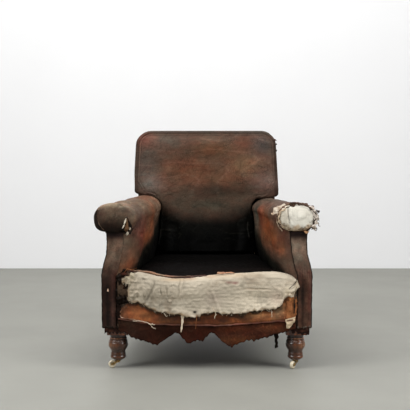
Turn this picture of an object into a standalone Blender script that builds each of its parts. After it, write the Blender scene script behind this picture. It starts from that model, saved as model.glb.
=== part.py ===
"""A worn leather club chair: scroll arms, a sprung seat, turned front legs and castors.

Metres, +Z up. The chair faces -Y and stands on its castors at Z = 0. The origin is on the
floor, under the middle of the chair. The arms splay: they lie closer together at the back.
"""

import math

import bmesh
import bpy
from mathutils import Matrix, Vector

# Clearances and sheet thicknesses
GAP = 0.0003  # between pieces that touch
SKIN = 0.002  # upholstery leather
CALICO = 0.0012
CANVAS = 0.0015
WEBBING = 0.0017

# Frame, from front to back
FRAME_FRONT = -0.430  # front face of the arm posts
POST_BACK = -0.3938
ARM_FRONT_X = 0.331  # arm centre line at FRAME_FRONT
ARM_SPLAY = 0.087  # how far an arm comes in for each metre towards the back
RAIL_BOTTOM = 0.1555
RAIL_TOP = 0.2495
FRONT_RAIL = (-0.428, -0.400)
REAR_RAIL = (0.3615, 0.3895)
SIDE_RAIL_U = (0.012, 0.042)  # u is measured outwards from the arm's centre line
ARM_RAIL_U = (-0.014, 0.030)
ARM_RAIL_Z = (0.500, 0.530)
ARM_TACK_U = (-0.0142, 0.012)
ARM_TACK_Z = (0.285, 0.310)

# Back stiles, which rake backwards and end below in the rear legs
STILE_X = 0.285
STILE_WIDTH = 0.034
STILE_DEPTH = 0.030
STILE_TOP = 0.815
STILE_BASE_Z = 0.155
STILE_BASE_Y = 0.3778
STILE_RAKE = 0.0753
BACK_TOP_RAIL_Z = (STILE_TOP + GAP, 0.855)
BACK_TACK_Z = (0.330, 0.362)

# Legs and castors
LEG_X = 0.326
LEG_Y = -0.3922
LEG_BLOCK = (0.076, 0.076)
LEG_BLOCK_Z = (0.127, 0.152)
REAR_LEG_Y = 0.402
FOOT_TOP = 0.0465
FOOT_BOTTOM = 0.0345
WHEEL_RADIUS = 0.014
WHEEL_WIDTH = 0.0120
WHEEL_SIDES = 20
CASTOR_TRAIL = 0.0225
AXLE_RADIUS = 0.002
STEM_RADIUS = 0.003
# Which way each castor trails, in degrees from +X
TRAIL_ANGLE = {"front_left": 185.0, "front_right": 239.0, "rear_left": 112.0, "rear_right": 64.0}

# Arm scroll, as an ellipse about the centre line
SCROLL_Z = 0.556
SCROLL_PAD = (0.078, 0.0545)
SCROLL_PAD_DEPTH = 0.0187
ARM_ROLL_Z = 0.553
ARM_ROLL = (0.0745, 0.0515)
POST_SCROLL = (0.068, 0.044)

# Seat
SEAT_SIDE_U = -0.0605
SEAT_FRONT = -0.3955
SEAT_BACK = 0.352
SPRING_ROWS = (-0.250, -0.015, 0.220)
SPRING_COLUMNS = (-0.14, 0.0, 0.14)
SPRING_RADIUS = 0.032
SPRING_WIRE = 0.0018
SPRING_TURNS = 4.0
SPRING_STEPS = 8  # points a turn
CANVAS_Z = 0.2925
SEAT_TOP = 0.3500
SEAT_CROWN = 0.0060
STRAP_WIDTH = 0.056
ROLL_LENGTH = 0.648  # front edge roll, between the posts
ROLL_BOTTOM = 0.2505

# Back upholstery
BACK_BOTTOM = 0.366
BACK_TOP = 0.883
BACK_HALF_WIDTH = 0.313
BACK_TOP_HALF_WIDTH = 0.300
BACK_CORNER = 0.060
BACK_EAR_Z = 0.6125  # above this the back is as wide as the chair
BACK_SIDE_U = -0.0760  # below it, the back fits between the arms

# Torn lower edge of the leather that hangs under the front rail, left to right (x, z)
VALANCE_TEAR = (
    (-0.322, 0.141), (-0.291, 0.134), (-0.276, 0.120), (-0.218, 0.105), (-0.182, 0.094),
    (-0.164, 0.105), (-0.113, 0.138), (-0.066, 0.094), (-0.047, 0.105), (-0.015, 0.105),
    (0.018, 0.138), (0.091, 0.083), (0.138, 0.105), (0.200, 0.116), (0.247, 0.134),
    (0.291, 0.138),
)

SIDES = {"left": -1, "right": 1}


# ---------------------------------------------------------------- scene, materials, helpers


def clear_scene():
    for obj in list(bpy.data.objects):
        bpy.data.objects.remove(obj, do_unlink=True)


def make_collection(name):
    collection = bpy.data.collections.new(name)
    bpy.context.scene.collection.children.link(collection)
    return collection


def make_material(name, colour, roughness, metallic=0.0):
    material = bpy.data.materials.new(name)
    material.use_nodes = True
    shader = material.node_tree.nodes["Principled BSDF"]
    shader.inputs["Base Color"].default_value = (*colour, 1.0)
    shader.inputs["Roughness"].default_value = roughness
    shader.inputs["Metallic"].default_value = metallic
    return material


def add_object(name, mesh, material, location=(0, 0, 0), turn=0.0):
    obj = bpy.data.objects.new(name, mesh)
    if not mesh.materials:
        mesh.materials.append(material)
    obj.location = location
    obj.rotation_euler.z = turn
    CHAIR.objects.link(obj)
    return obj


def mesh_from(bm, name):
    bmesh.ops.recalc_face_normals(bm, faces=bm.faces)
    mesh = bpy.data.meshes.new(name)
    bm.to_mesh(mesh)
    bm.free()
    return mesh


def across(a, b, t):
    """An outline in Y and Z, drawn out along X."""
    return Vector((t, a, b))


def along(a, b, t):
    """An outline in X and Z, drawn out along Y."""
    return Vector((a, t, b))


def arm_x(y):
    """Distance of an arm's centre line from the middle of the chair."""
    return ARM_FRONT_X - ARM_SPLAY * (y - FRAME_FRONT)


def arm_frame(side):
    """An outline in u and Z, drawn out along a splayed arm."""
    return lambda a, b, t: Vector((side * (arm_x(t) + a), t, b))


def prism_mesh(name, outline, start, end, frame):
    bm = bmesh.new()
    face = bm.faces.new([bm.verts.new(frame(a, b, start)) for a, b in outline])
    raised = bmesh.ops.extrude_face_region(bm, geom=[face])["geom"]
    corners = [item for item in raised if isinstance(item, bmesh.types.BMVert)]
    for corner in corners:
        near = min(outline, key=lambda p: (frame(*p, start) - corner.co).length)
        corner.co = frame(*near, end)
    return mesh_from(bm, name)


def prism(name, outline, start, end, frame, material):
    return add_object(name, prism_mesh(name, outline, start, end, frame), material)


def rectangle(a, b):
    return [(a[0], b[0]), (a[1], b[0]), (a[1], b[1]), (a[0], b[1])]


def box_mesh(name, low, high):
    bm = bmesh.new()
    size = Vector(high) - Vector(low)
    place = Matrix.Translation((Vector(low) + Vector(high)) / 2) @ Matrix.Diagonal((*size, 1))
    bmesh.ops.create_cube(bm, size=1, matrix=place)
    return mesh_from(bm, name)


def box(name, low, high, material, bevel=0.0):
    obj = add_object(name, box_mesh(name, low, high), material)
    if bevel:
        edge = obj.modifiers.new("rounded edges", "BEVEL")
        edge.width = bevel
        edge.segments = 2
    return obj


def turned(name, profile, material, steps, closed=False, location=(0, 0, 0)):
    """A profile of (radius, z), listed down the outer side, turned about Z."""
    mesh = bpy.data.meshes.new(name)
    points = [(r, 0, z) for r, z in profile]
    edges = [(i, i + 1) for i in range(len(points) - 1)]
    if closed:
        edges.append((len(points) - 1, 0))
    mesh.from_pydata(points, edges, [])
    obj = add_object(name, mesh, material, location)
    screw = obj.modifiers.new("turning", "SCREW")
    screw.steps = steps
    screw.render_steps = steps
    screw.use_merge_vertices = True
    screw.merge_threshold = 0.00001
    screw.use_smooth_shade = True
    return obj


def cushion(name, columns, rows, near, far, material):
    """A closed pad between two curved faces, near(s, t) and far(s, t) with s and t from 0 to 1."""
    bm = bmesh.new()
    bmesh.ops.create_grid(bm, x_segments=columns, y_segments=rows, size=0.5)
    places = {v: (v.co.x + 0.5, v.co.y + 0.5) for v in bm.verts}
    top = bmesh.ops.extrude_face_region(bm, geom=list(bm.faces))["geom"]
    raised = {item for item in top if isinstance(item, bmesh.types.BMVert)}
    for vert in raised:
        vert.co = near(vert.co.x + 0.5, vert.co.y + 0.5)
    for vert, (s, t) in places.items():
        vert.co = far(s, t)
    return add_object(name, mesh_from(bm, name), material)


def cutter(name, mesh):
    obj = bpy.data.objects.new(name, mesh)
    obj.hide_render = True
    obj.display_type = "WIRE"
    CUTTERS.objects.link(obj)
    return obj


def combine(obj, tool, operation):
    boolean = obj.modifiers.new(tool.name, "BOOLEAN")
    boolean.operation = operation
    boolean.object = tool
    boolean.solver = "EXACT"


def shared_mesh(obj):
    """The finished shape of an object, which is then removed with the tools that cut it."""
    depsgraph = bpy.context.evaluated_depsgraph_get()
    mesh = bpy.data.meshes.new_from_object(obj.evaluated_get(depsgraph))
    tools = [m.object for m in obj.modifiers if m.type == "BOOLEAN"]
    for used in [obj, *tools]:
        bpy.data.objects.remove(used, do_unlink=True)
    return mesh


def shade_round(obj, sharp=35):
    obj.data.shade_smooth()
    obj.data.set_sharp_from_angle(angle=math.radians(sharp))


def arc(centre, radii, first, last, count):
    """Points on an ellipse, from one angle to another in degrees."""
    angles = [math.radians(first + (last - first) * i / (count - 1)) for i in range(count)]
    return [(centre[0] + radii[0] * math.cos(a), centre[1] + radii[1] * math.sin(a))
            for a in angles]


def inset(path, distance):
    """The open path moved to its left by a distance."""
    moved = []
    for i, point in enumerate(path):
        before = Vector(path[max(i - 1, 0)])
        after = Vector(path[min(i + 1, len(path) - 1)])
        run = (after - before).normalized()
        moved.append((point[0] - run.y * distance, point[1] + run.x * distance))
    return moved


def mix(low, high, share):
    return low + (high - low) * share


# ---------------------------------------------------------------- timber frame


def stile_y(z):
    """Middle of a back stile at a height."""
    return STILE_BASE_Y + STILE_RAKE * (z - STILE_BASE_Z)


def front_leg_profile():
    """Turned front leg, from under its square block to its foot in the castor cup."""
    neck = [(0.0300, LEG_BLOCK_Z[0] + 0.002), (0.0300, 0.1215), (0.0272, 0.1200), (0.0272, 0.1155)]
    rings = [(0.0304, 0.1140), (0.0304, 0.1095), (0.0284, 0.1085), (0.0284, 0.1060)]
    bulb = [(0.0310, 0.1040), (0.0326, 0.0990), (0.0335, 0.0925), (0.0322, 0.0850),
            (0.0285, 0.0770), (0.0252, 0.0710), (0.0243, 0.0665)]
    foot = [(0.0250, 0.0600), (0.0264, 0.0560), (0.0268, 0.0520), (0.0255, 0.0485),
            (0.0200, FOOT_TOP), (0.0112, FOOT_BOTTOM), (0.0, FOOT_BOTTOM)]
    return [(0.0, LEG_BLOCK_Z[0] + 0.002), *neck, *rings, *bulb, *foot]


def make_front_legs():
    for name, side in SIDES.items():
        leg = turned(f"front_leg_{name}", front_leg_profile(), OAK, 20,
                     location=(side * LEG_X, LEG_Y, 0))
        low = (side * LEG_X - LEG_BLOCK[0] / 2, LEG_Y - LEG_BLOCK[1] / 2, LEG_BLOCK_Z[0])
        high = (side * LEG_X + LEG_BLOCK[0] / 2, LEG_Y + LEG_BLOCK[1] / 2, LEG_BLOCK_Z[1])
        block = cutter(f"leg_block_{name}", box_mesh("leg_block", low, high))
        combine(leg, block, "UNION")


def make_rear_legs():
    """Each rear leg and the back stile above it are one raked timber."""
    half = STILE_DEPTH / 2
    heights = (STILE_TOP, STILE_BASE_Z, 0.052)
    centres = (stile_y(STILE_TOP), stile_y(STILE_BASE_Z), REAR_LEG_Y)
    depths = (half, half, 0.014)
    front = [(y - d, z) for y, d, z in zip(centres, depths, heights)]
    back = [(y + d, z) for y, d, z in zip(centres, depths, heights)]
    foot = [(0.0, 0.058), (0.0125, 0.058), (0.0140, 0.0495), (0.0200, FOOT_TOP),
            (0.0112, FOOT_BOTTOM), (0.0, FOOT_BOTTOM)]
    for name, side in SIDES.items():
        inner = side * STILE_X - STILE_WIDTH / 2
        leg = prism(f"rear_leg_{name}", front + back[::-1], inner, inner + STILE_WIDTH, across, OAK)
        peg = turned("foot_peg", foot, OAK, 16)
        tool = cutter(f"foot_{name}", shared_mesh(peg))
        tool.location = (side * STILE_X, REAR_LEG_Y, 0)
        combine(leg, tool, "UNION")


def post_outline():
    """Arm post from its foot, up the outer edge, round the scroll and down the inner edge."""
    outer = [(0.0455, RAIL_BOTTOM - 0.003), (0.0455, 0.350), (0.0400, 0.385), (0.0290, 0.425),
             (0.0270, 0.470), (0.0300, 0.510)]
    scroll = arc((0, SCROLL_Z), POST_SCROLL, -40, 220, 17)
    inner = [(-0.0270, 0.510), (-0.0240, 0.470), (-0.0190, 0.425), (-0.0080, 0.375),
             (-0.0010, 0.345), (-0.0010, RAIL_BOTTOM - 0.003)]
    return outer + scroll + inner


def make_arm_frames():
    side_rail_end = stile_y(RAIL_BOTTOM) - STILE_DEPTH / 2 - 2 * GAP
    arm_rail_end = stile_y(ARM_RAIL_Z[0]) - STILE_DEPTH / 2 - GAP
    tack_rail_end = stile_y(ARM_TACK_Z[0]) - STILE_DEPTH / 2 - GAP
    start = POST_BACK + GAP
    for name, side in SIDES.items():
        frame = arm_frame(side)
        prism(f"arm_post_{name}", post_outline(), FRAME_FRONT, POST_BACK, frame, OAK)
        prism(f"side_seat_rail_{name}", rectangle(SIDE_RAIL_U, (RAIL_BOTTOM, RAIL_TOP)),
              start, side_rail_end, frame, BEECH)
        prism(f"arm_rail_{name}", rectangle(ARM_RAIL_U, ARM_RAIL_Z),
              start, arm_rail_end, frame, BEECH)
        prism(f"arm_tack_rail_{name}", rectangle(ARM_TACK_U, ARM_TACK_Z),
              start, tack_rail_end, frame, BEECH)


def raked_rail(name, height, depth, half_length):
    """A rail across the back that leans with the stiles."""
    section = [(stile_y(z) + y, z) for y, z in rectangle((-depth / 2, depth / 2), height)]
    prism(name, section, -half_length, half_length, across, BEECH)


def make_cross_rails():
    half_length = arm_x(FRONT_RAIL[1]) - 0.001 - 2 * GAP
    box("front_seat_rail", (-half_length, FRONT_RAIL[0], RAIL_BOTTOM),
        (half_length, FRONT_RAIL[1], RAIL_TOP), BEECH, bevel=0.002)
    half_length = STILE_X - STILE_WIDTH / 2 - GAP
    box("rear_seat_rail", (-half_length, REAR_RAIL[0], RAIL_BOTTOM),
        (half_length, REAR_RAIL[1], RAIL_TOP), BEECH, bevel=0.002)
    raked_rail("back_tack_rail", BACK_TACK_Z, 0.022, half_length)
    raked_rail("back_top_rail", BACK_TOP_RAIL_Z, 0.026, STILE_X)


# ---------------------------------------------------------------- castors


def castor_cup_profile():
    """Brass socket on the foot, open at the top, with a hole for the swivel stem."""
    outside = [(0.0224, FOOT_TOP - GAP), (0.0224, FOOT_TOP - 0.0020), (0.0130, 0.0325),
               (0.0130, 0.0300)]
    stem_hole = [(STEM_RADIUS + 0.0005, 0.0300), (STEM_RADIUS + 0.0005, FOOT_BOTTOM - 0.0005)]
    socket = [(0.0118, FOOT_BOTTOM - 0.0005), (0.0206, FOOT_TOP - GAP)]
    return outside + stem_hole + socket


def castor_fork_mesh():
    """Swivel plate, stem, two cheeks and the axle. The stem is at the origin; +X is the trail."""
    cheek_inner = WHEEL_WIDTH / 2 + 0.0008
    cheek_outer = cheek_inner + 0.0020
    plate = turned("fork_plate", [(0.0, 0.0296), (0.0095, 0.0296), (0.0095, 0.0262),
                                  (0.0, 0.0262)], BRASS, 20)
    stem = turned("stem_stock", [(0.0, 0.0335), (STEM_RADIUS, 0.0335), (STEM_RADIUS, 0.0290),
                                 (0.0, 0.0290)], BRASS, 12)
    combine(plate, cutter("stem", shared_mesh(stem)), "UNION")
    web_side = cheek_outer - 0.0005
    web = box_mesh("web", (-0.0055, -web_side, 0.0222), (0.0050, web_side, 0.0274))
    combine(plate, cutter("web", web), "UNION")
    outline = [(-0.0062, 0.0268), (0.0090, 0.0268), (0.0190, 0.0215), (0.0262, 0.0178),
               (0.0268, 0.0120), (0.0225, 0.0098), (0.0180, 0.0112), (0.0060, 0.0190),
               (-0.0062, 0.0218)]
    for number, y in enumerate((-cheek_outer, cheek_inner)):
        cheek = prism_mesh("cheek", outline, y, y + cheek_outer - cheek_inner, along)
        combine(plate, cutter(f"cheek_{number}", cheek), "UNION")
    pin = bmesh.new()
    bmesh.ops.create_cone(pin, cap_ends=True, segments=12, radius1=AXLE_RADIUS,
                          radius2=AXLE_RADIUS, depth=2 * cheek_outer + 0.0016,
                          matrix=Matrix.Translation((CASTOR_TRAIL, 0, WHEEL_RADIUS))
                          @ Matrix.Rotation(math.pi / 2, 4, "X"))
    combine(plate, cutter("axle", mesh_from(pin, "axle")), "UNION")
    return shared_mesh(plate)


def castor_wheel_mesh():
    """Wheel about its axle, with a flat side downwards and a bore for the axle."""
    half_side = math.pi / WHEEL_SIDES
    radius = WHEEL_RADIUS / math.cos(half_side)
    bm = bmesh.new()
    turn = Matrix.Rotation(math.pi / 2, 4, "X") @ Matrix.Rotation(half_side, 4, "Z")
    bmesh.ops.create_cone(bm, cap_ends=True, segments=WHEEL_SIDES, radius1=radius,
                          radius2=radius, depth=WHEEL_WIDTH, matrix=turn)
    wheel = add_object("wheel_stock", mesh_from(bm, "castor_wheel"), PORCELAIN)
    rim = wheel.modifiers.new("rounded rim", "BEVEL")
    rim.width = 0.0018
    rim.segments = 2
    rim.limit_method = "ANGLE"
    rim.angle_limit = math.radians(60)
    bore = bmesh.new()
    bmesh.ops.create_cone(bore, cap_ends=True, segments=12, radius1=AXLE_RADIUS + 0.0005,
                          radius2=AXLE_RADIUS + 0.0005, depth=2 * WHEEL_WIDTH,
                          matrix=Matrix.Rotation(math.pi / 2, 4, "X"))
    combine(wheel, cutter("bore", mesh_from(bore, "bore")), "DIFFERENCE")
    return shared_mesh(wheel)


def make_castors():
    fork_mesh = castor_fork_mesh()
    wheel_mesh = castor_wheel_mesh()
    feet = {f"front_{name}": (side * LEG_X, LEG_Y) for name, side in SIDES.items()}
    feet |= {f"rear_{name}": (side * STILE_X, REAR_LEG_Y) for name, side in SIDES.items()}
    for name, (x, y) in feet.items():
        turned(f"castor_cup_{name}", castor_cup_profile(), BRASS, 20, closed=True,
               location=(x, y, 0))
        turn = math.radians(TRAIL_ANGLE[name])
        fork = add_object(f"castor_fork_{name}", fork_mesh, BRASS, (x, y, 0), turn)
        shade_round(fork)
        axle = (x + CASTOR_TRAIL * math.cos(turn), y + CASTOR_TRAIL * math.sin(turn), WHEEL_RADIUS)
        wheel = add_object(f"castor_wheel_{name}", wheel_mesh, PORCELAIN, axle, turn)
        shade_round(wheel)


# ---------------------------------------------------------------- seat


def make_webbing():
    """Straps crossing under the rails, interlaced and stitched into one mat."""
    low = RAIL_BOTTOM - GAP - WEBBING
    high = RAIL_BOTTOM - GAP
    half = STRAP_WIDTH / 2
    long_ends = (FRONT_RAIL[0] + 0.002, REAR_RAIL[1] - 0.002)
    first = SPRING_COLUMNS[0]
    mat = box("seat_webbing", (first - half, long_ends[0], low), (first + half, long_ends[1], high),
              JUTE)
    for number, x in enumerate(SPRING_COLUMNS[1:]):
        strap = box_mesh("strap", (x - half, long_ends[0], low), (x + half, long_ends[1], high))
        combine(mat, cutter(f"long_strap_{number}", strap), "UNION")
    for number, y in enumerate(SPRING_ROWS):
        reach = arm_x(y) + SIDE_RAIL_U[1] - 0.006
        strap = box_mesh("strap", (-reach, y - half, low), (reach, y + half, high))
        combine(mat, cutter(f"cross_strap_{number}", strap), "UNION")


def make_springs():
    """Coil springs on the webbing, in rows from the front, each an open helix."""
    base = RAIL_BOTTOM + SPRING_WIRE
    height = CANVAS_Z - GAP - SPRING_WIRE - base
    count = int(SPRING_TURNS * SPRING_STEPS)
    for row, y in enumerate(SPRING_ROWS):
        for column, x in enumerate(SPRING_COLUMNS):
            name = f"seat_spring_{row + 1}{column + 1}"
            curve = bpy.data.curves.new(name, "CURVE")
            curve.dimensions = "3D"
            curve.bevel_depth = SPRING_WIRE
            curve.bevel_resolution = 2
            curve.use_fill_caps = True
            line = curve.splines.new("POLY")
            line.points.add(count)
            for i, point in enumerate(line.points):
                angle = 2 * math.pi * i / SPRING_STEPS
                share = min(max((i - SPRING_STEPS / 2) / (count - SPRING_STEPS), 0), 1)
                waist = 1 - 0.18 * math.sin(math.pi * share)
                point.co = (waist * SPRING_RADIUS * math.cos(angle),
                            waist * SPRING_RADIUS * math.sin(angle), base + height * share, 1)
            add_object(name, curve, STEEL, (x, y, 0))


def seat_surface(lift):
    """The crowned top of the seat as a function of two shares, raised by a lift."""
    def surface(s, t):
        y = mix(SEAT_FRONT, SEAT_BACK, t)
        crown = SEAT_CROWN * math.sin(math.pi * s) * math.sin(math.pi * min(t * 1.2, 1))
        half = arm_x(y) + SEAT_SIDE_U
        return Vector((mix(-half, half, s), y, SEAT_TOP + crown + lift))
    return surface


def seat_plane(z):
    def surface(s, t):
        flat = seat_surface(0)(s, t)
        return Vector((flat.x, flat.y, z))
    return surface


def roll_path():
    """Front of the edge roll in (y, z), from its foot to its top."""
    return [(-0.4275, ROLL_BOTTOM), (-0.4345, 0.2650), (-0.4380, 0.2850), (-0.4388, 0.3050),
            (-0.4370, 0.3240), (-0.4320, 0.3400), (-0.4230, 0.3495), (-0.4100, 0.3535),
            (-0.3962, 0.3545)]


def make_seat():
    pad_bottom = CANVAS_Z + CANVAS + GAP
    cushion("spring_canvas", 1, 1, seat_plane(CANVAS_Z + CANVAS), seat_plane(CANVAS_Z), HESSIAN)
    cushion("seat_stuffing", 8, 8, seat_surface(0), seat_plane(pad_bottom), HORSEHAIR)
    cushion("seat_leather", 8, 8, seat_surface(GAP + SKIN), seat_surface(GAP), DARK_LEATHER)
    roll = roll_path() + [(-0.3962, ROLL_BOTTOM)]
    prism("seat_edge_roll", roll, -ROLL_LENGTH / 2, ROLL_LENGTH / 2, across, HORSEHAIR)


def make_front_covers():
    """The calico over the edge roll, the leather band on the rail and the torn valance."""
    face = [(-0.4340, 0.205), (-0.4340, 0.2480), *inset(roll_path(), GAP)[1:-1], (-0.4000, 0.3548)]
    front = inset(face, CALICO)
    prism("front_calico", face + front[::-1], -0.306, 0.3230, across, CLOTH)
    band_back = FRONT_RAIL[0] - GAP
    half = ROLL_LENGTH / 2
    box("front_band", (-half, band_back - SKIN, RAIL_BOTTOM + 0.001),
        (half, band_back, RAIL_TOP), TAN_LEATHER)
    valance_back = band_back - SKIN - GAP
    outline = [*VALANCE_TEAR, (0.322, 0.150), (0.322, 0.164), (-0.322, 0.164)]
    prism("front_valance", outline, valance_back - SKIN, valance_back, along, DARK_LEATHER)


# ---------------------------------------------------------------- arms


def arm_profile():
    """Outer face of an arm in (u, z): from under the roll, over the top, down the inside."""
    roll = arc((0, ARM_ROLL_Z), ARM_ROLL, -58, 200, 20)
    inside = [(-0.0665, 0.510), (-0.0655, 0.480), (-0.0660, 0.450), (-0.0635, 0.420),
              (-0.0575, 0.380), (-0.0475, 0.340), (-0.0380, 0.310), (-0.0320, 0.292)]
    return [(0.0365, 0.4990), *roll, *inside]


def outside_arm_path():
    """Outer leather panel of an arm, from under the roll down to the seat rail."""
    return [(0.0300, 0.4980), (0.0282, 0.470), (0.0302, 0.425), (0.0412, 0.385),
            (0.0468, 0.350), (0.0468, RAIL_BOTTOM - 0.001)]


def scroll_dome(name, radii, depth, side, whole=False):
    """Half an ellipsoid standing off the front of an arm post, or a whole one for a cutter."""
    bm = bmesh.new()
    bmesh.ops.create_uvsphere(bm, u_segments=24, v_segments=12, radius=1)
    if not whole:
        cut = bmesh.ops.bisect_plane(bm, geom=bm.verts[:] + bm.edges[:] + bm.faces[:],
                                     plane_co=(0, 0, 0), plane_no=(0, 1, 0), clear_outer=True)
        rim = [item for item in cut["geom_cut"] if isinstance(item, bmesh.types.BMEdge)]
        bmesh.ops.holes_fill(bm, edges=rim)
    place = Matrix.Translation((side * ARM_FRONT_X, FRAME_FRONT - GAP, SCROLL_Z))
    bm.transform(place @ Matrix.Diagonal((radii[0], depth, radii[1], 1)))
    return mesh_from(bm, name)


def make_arm_covers():
    profile = arm_profile()
    leather = profile + inset(profile, SKIN)[::-1]
    notch = [(ARM_RAIL_U[0] - 0.0005, 0.292), (ARM_RAIL_U[0] - 0.0005, ARM_RAIL_Z[1] + 0.0005),
             (ARM_RAIL_U[1] + 0.0005, ARM_RAIL_Z[1] + 0.0005), (ARM_RAIL_U[1] + 0.0005, 0.5013)]
    stuffing = inset(profile, SKIN + GAP) + notch
    panel = outside_arm_path()
    under_scroll = [radius + 0.001 for radius in SCROLL_PAD]
    facing = [*arc((0, SCROLL_Z), under_scroll, -68, -112, 5), (-0.0275, 0.470),
              (-0.0225, 0.425), (-0.0115, 0.375), (-0.0020, 0.345), (-0.0020, 0.1530),
              (0.0492, 0.1530), (0.0505, 0.350), (0.0435, 0.385), (0.0325, 0.425),
              (0.0300, 0.470)]
    start = POST_BACK + GAP
    end = stile_y(0.3) - STILE_DEPTH / 2 - GAP
    for name, side in SIDES.items():
        frame = arm_frame(side)
        prism(f"arm_stuffing_{name}", stuffing, start, end, frame, HORSEHAIR)
        prism(f"arm_leather_{name}", leather, start, end, frame, BROWN_LEATHER)
        prism(f"outside_arm_leather_{name}", panel + inset(panel, SKIN)[::-1],
              FRAME_FRONT + GAP, end, frame, BROWN_LEATHER)
        prism(f"front_facing_{name}", facing, FRAME_FRONT - GAP - SKIN, FRAME_FRONT - GAP,
              frame, BROWN_LEATHER)


def make_scroll_pads():
    """Calico pads on the post scrolls. The left pad still has its leather facing."""
    pad_right = scroll_dome("scroll_pad_right", SCROLL_PAD, SCROLL_PAD_DEPTH, 1)
    add_object("scroll_pad_right", pad_right, CLOTH)
    wall = SKIN + GAP
    inner = [radius - wall for radius in SCROLL_PAD]
    pad_left = scroll_dome("scroll_pad_left", inner, SCROLL_PAD_DEPTH - wall, -1)
    add_object("scroll_pad_left", pad_left, CLOTH)
    leather = scroll_dome("scroll_facing_left", SCROLL_PAD, SCROLL_PAD_DEPTH, -1)
    facing = add_object("scroll_facing_left", leather, BROWN_LEATHER)
    hollow = [radius - SKIN for radius in SCROLL_PAD]
    bowl = scroll_dome("scroll_hollow", hollow, SCROLL_PAD_DEPTH - SKIN, -1, whole=True)
    combine(facing, cutter("scroll_hollow", bowl), "DIFFERENCE")


# ---------------------------------------------------------------- back


def back_half_width(z, y):
    """Half the width of the back pad: between the arms low down, the full width above them."""
    if z < BACK_EAR_Z - 0.002:
        return arm_x(y) + BACK_SIDE_U
    straight = mix(BACK_HALF_WIDTH, BACK_TOP_HALF_WIDTH, (z - BACK_EAR_Z) / (BACK_TOP - BACK_EAR_Z))
    above = max(z - (BACK_TOP - BACK_CORNER), 0)
    return straight - BACK_CORNER + math.sqrt(max(BACK_CORNER ** 2 - above ** 2, 0))


def back_rows():
    """Heights of the pad's rows: close together at the step over the arms and at the top."""
    low = [BACK_BOTTOM, 0.420, 0.480, 0.540, 0.585, BACK_EAR_Z - 0.006]
    high = [BACK_EAR_Z, 0.650, 0.700, 0.750, 0.795, BACK_TOP - BACK_CORNER]
    corner = [BACK_TOP - BACK_CORNER * (1 - math.sin(math.radians(a))) for a in (30, 55, 75, 88)]
    return low + high + corner


def back_front_y(s, z):
    """Front face of the back pad, deepest in the middle of the lower back."""
    edge = mix(0.226, 0.334, (z - BACK_BOTTOM) / (BACK_TOP - BACK_BOTTOM))
    swell = 0.030 * math.sin(math.pi * s) * (1 - 0.6 * (z - BACK_BOTTOM) / (BACK_TOP - BACK_BOTTOM))
    round_off = 0.030 * max(0.0, (z - BACK_TOP + BACK_CORNER) / BACK_CORNER) ** 2
    return edge - swell + round_off


def back_face(rows, forward):
    """Front of the back, moved forward by a distance."""
    def surface(s, t):
        z = rows[round(t * (len(rows) - 1))]
        y = back_front_y(s, z) - forward
        half = back_half_width(z, y)
        return Vector((mix(-half, half, s), y, z))
    return surface


def back_rear(rows):
    def surface(s, t):
        z = rows[round(t * (len(rows) - 1))]
        y = stile_y(z) - STILE_DEPTH / 2 - GAP
        half = back_half_width(z, y)
        return Vector((mix(-half, half, s), y, z))
    return surface


def stile_plane(a, b, t):
    """An outline in X and Z, laid on the rear of the raked stiles."""
    return Vector((a, stile_y(b) + t, b))


def make_back():
    rows = back_rows()
    cushion("back_stuffing", 8, len(rows) - 1, back_face(rows, 0), back_rear(rows), HORSEHAIR)
    cushion("inside_back_leather", 8, len(rows) - 1, back_face(rows, GAP + SKIN),
            back_face(rows, GAP), DARK_LEATHER)
    inner = STILE_DEPTH / 2 + GAP
    low_corner = STILE_X + STILE_WIDTH / 2 + 0.004
    edge = [(low_corner, RAIL_BOTTOM + 0.001), (low_corner, BACK_EAR_Z - 0.01)]
    edge += [(back_half_width(z, 0), z) for z in rows if z >= BACK_EAR_Z]
    outline = edge + [(-x, z) for x, z in edge[::-1]]
    prism("outside_back_leather", outline, inner, inner + SKIN, stile_plane, BROWN_LEATHER)


# ---------------------------------------------------------------- build

clear_scene()
CHAIR = make_collection("worn_club_chair")
CUTTERS = make_collection("cutters")

OAK = make_material("stained oak", (0.055, 0.022, 0.010), 0.35)
BEECH = make_material("beech", (0.45, 0.28, 0.14), 0.60)
BRASS = make_material("brass", (0.50, 0.33, 0.13), 0.40, 1.0)
PORCELAIN = make_material("porcelain", (0.68, 0.62, 0.48), 0.30)
STEEL = make_material("spring steel", (0.20, 0.17, 0.15), 0.45, 1.0)
JUTE = make_material("jute webbing", (0.32, 0.22, 0.12), 0.95)
HESSIAN = make_material("hessian", (0.30, 0.21, 0.12), 0.95)
HORSEHAIR = make_material("horsehair", (0.10, 0.065, 0.040), 0.95)
CLOTH = make_material("calico", (0.40, 0.34, 0.26), 0.90)
TAN_LEATHER = make_material("tan leather", (0.17, 0.062, 0.026), 0.75)
BROWN_LEATHER = make_material("brown leather", (0.10, 0.055, 0.036), 0.50)
DARK_LEATHER = make_material("dark leather", (0.025, 0.015, 0.010), 0.50)

make_front_legs()
make_rear_legs()
make_arm_frames()
make_cross_rails()
make_castors()
make_webbing()
make_springs()
make_seat()
make_front_covers()
make_arm_covers()
make_scroll_pads()
make_back()
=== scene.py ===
"""Looks of the worn club chair: torn leather, calico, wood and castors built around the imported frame."""

import math

import bmesh
import bpy
import numpy as np
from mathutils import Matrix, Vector
from mathutils.bvhtree import BVHTree


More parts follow.
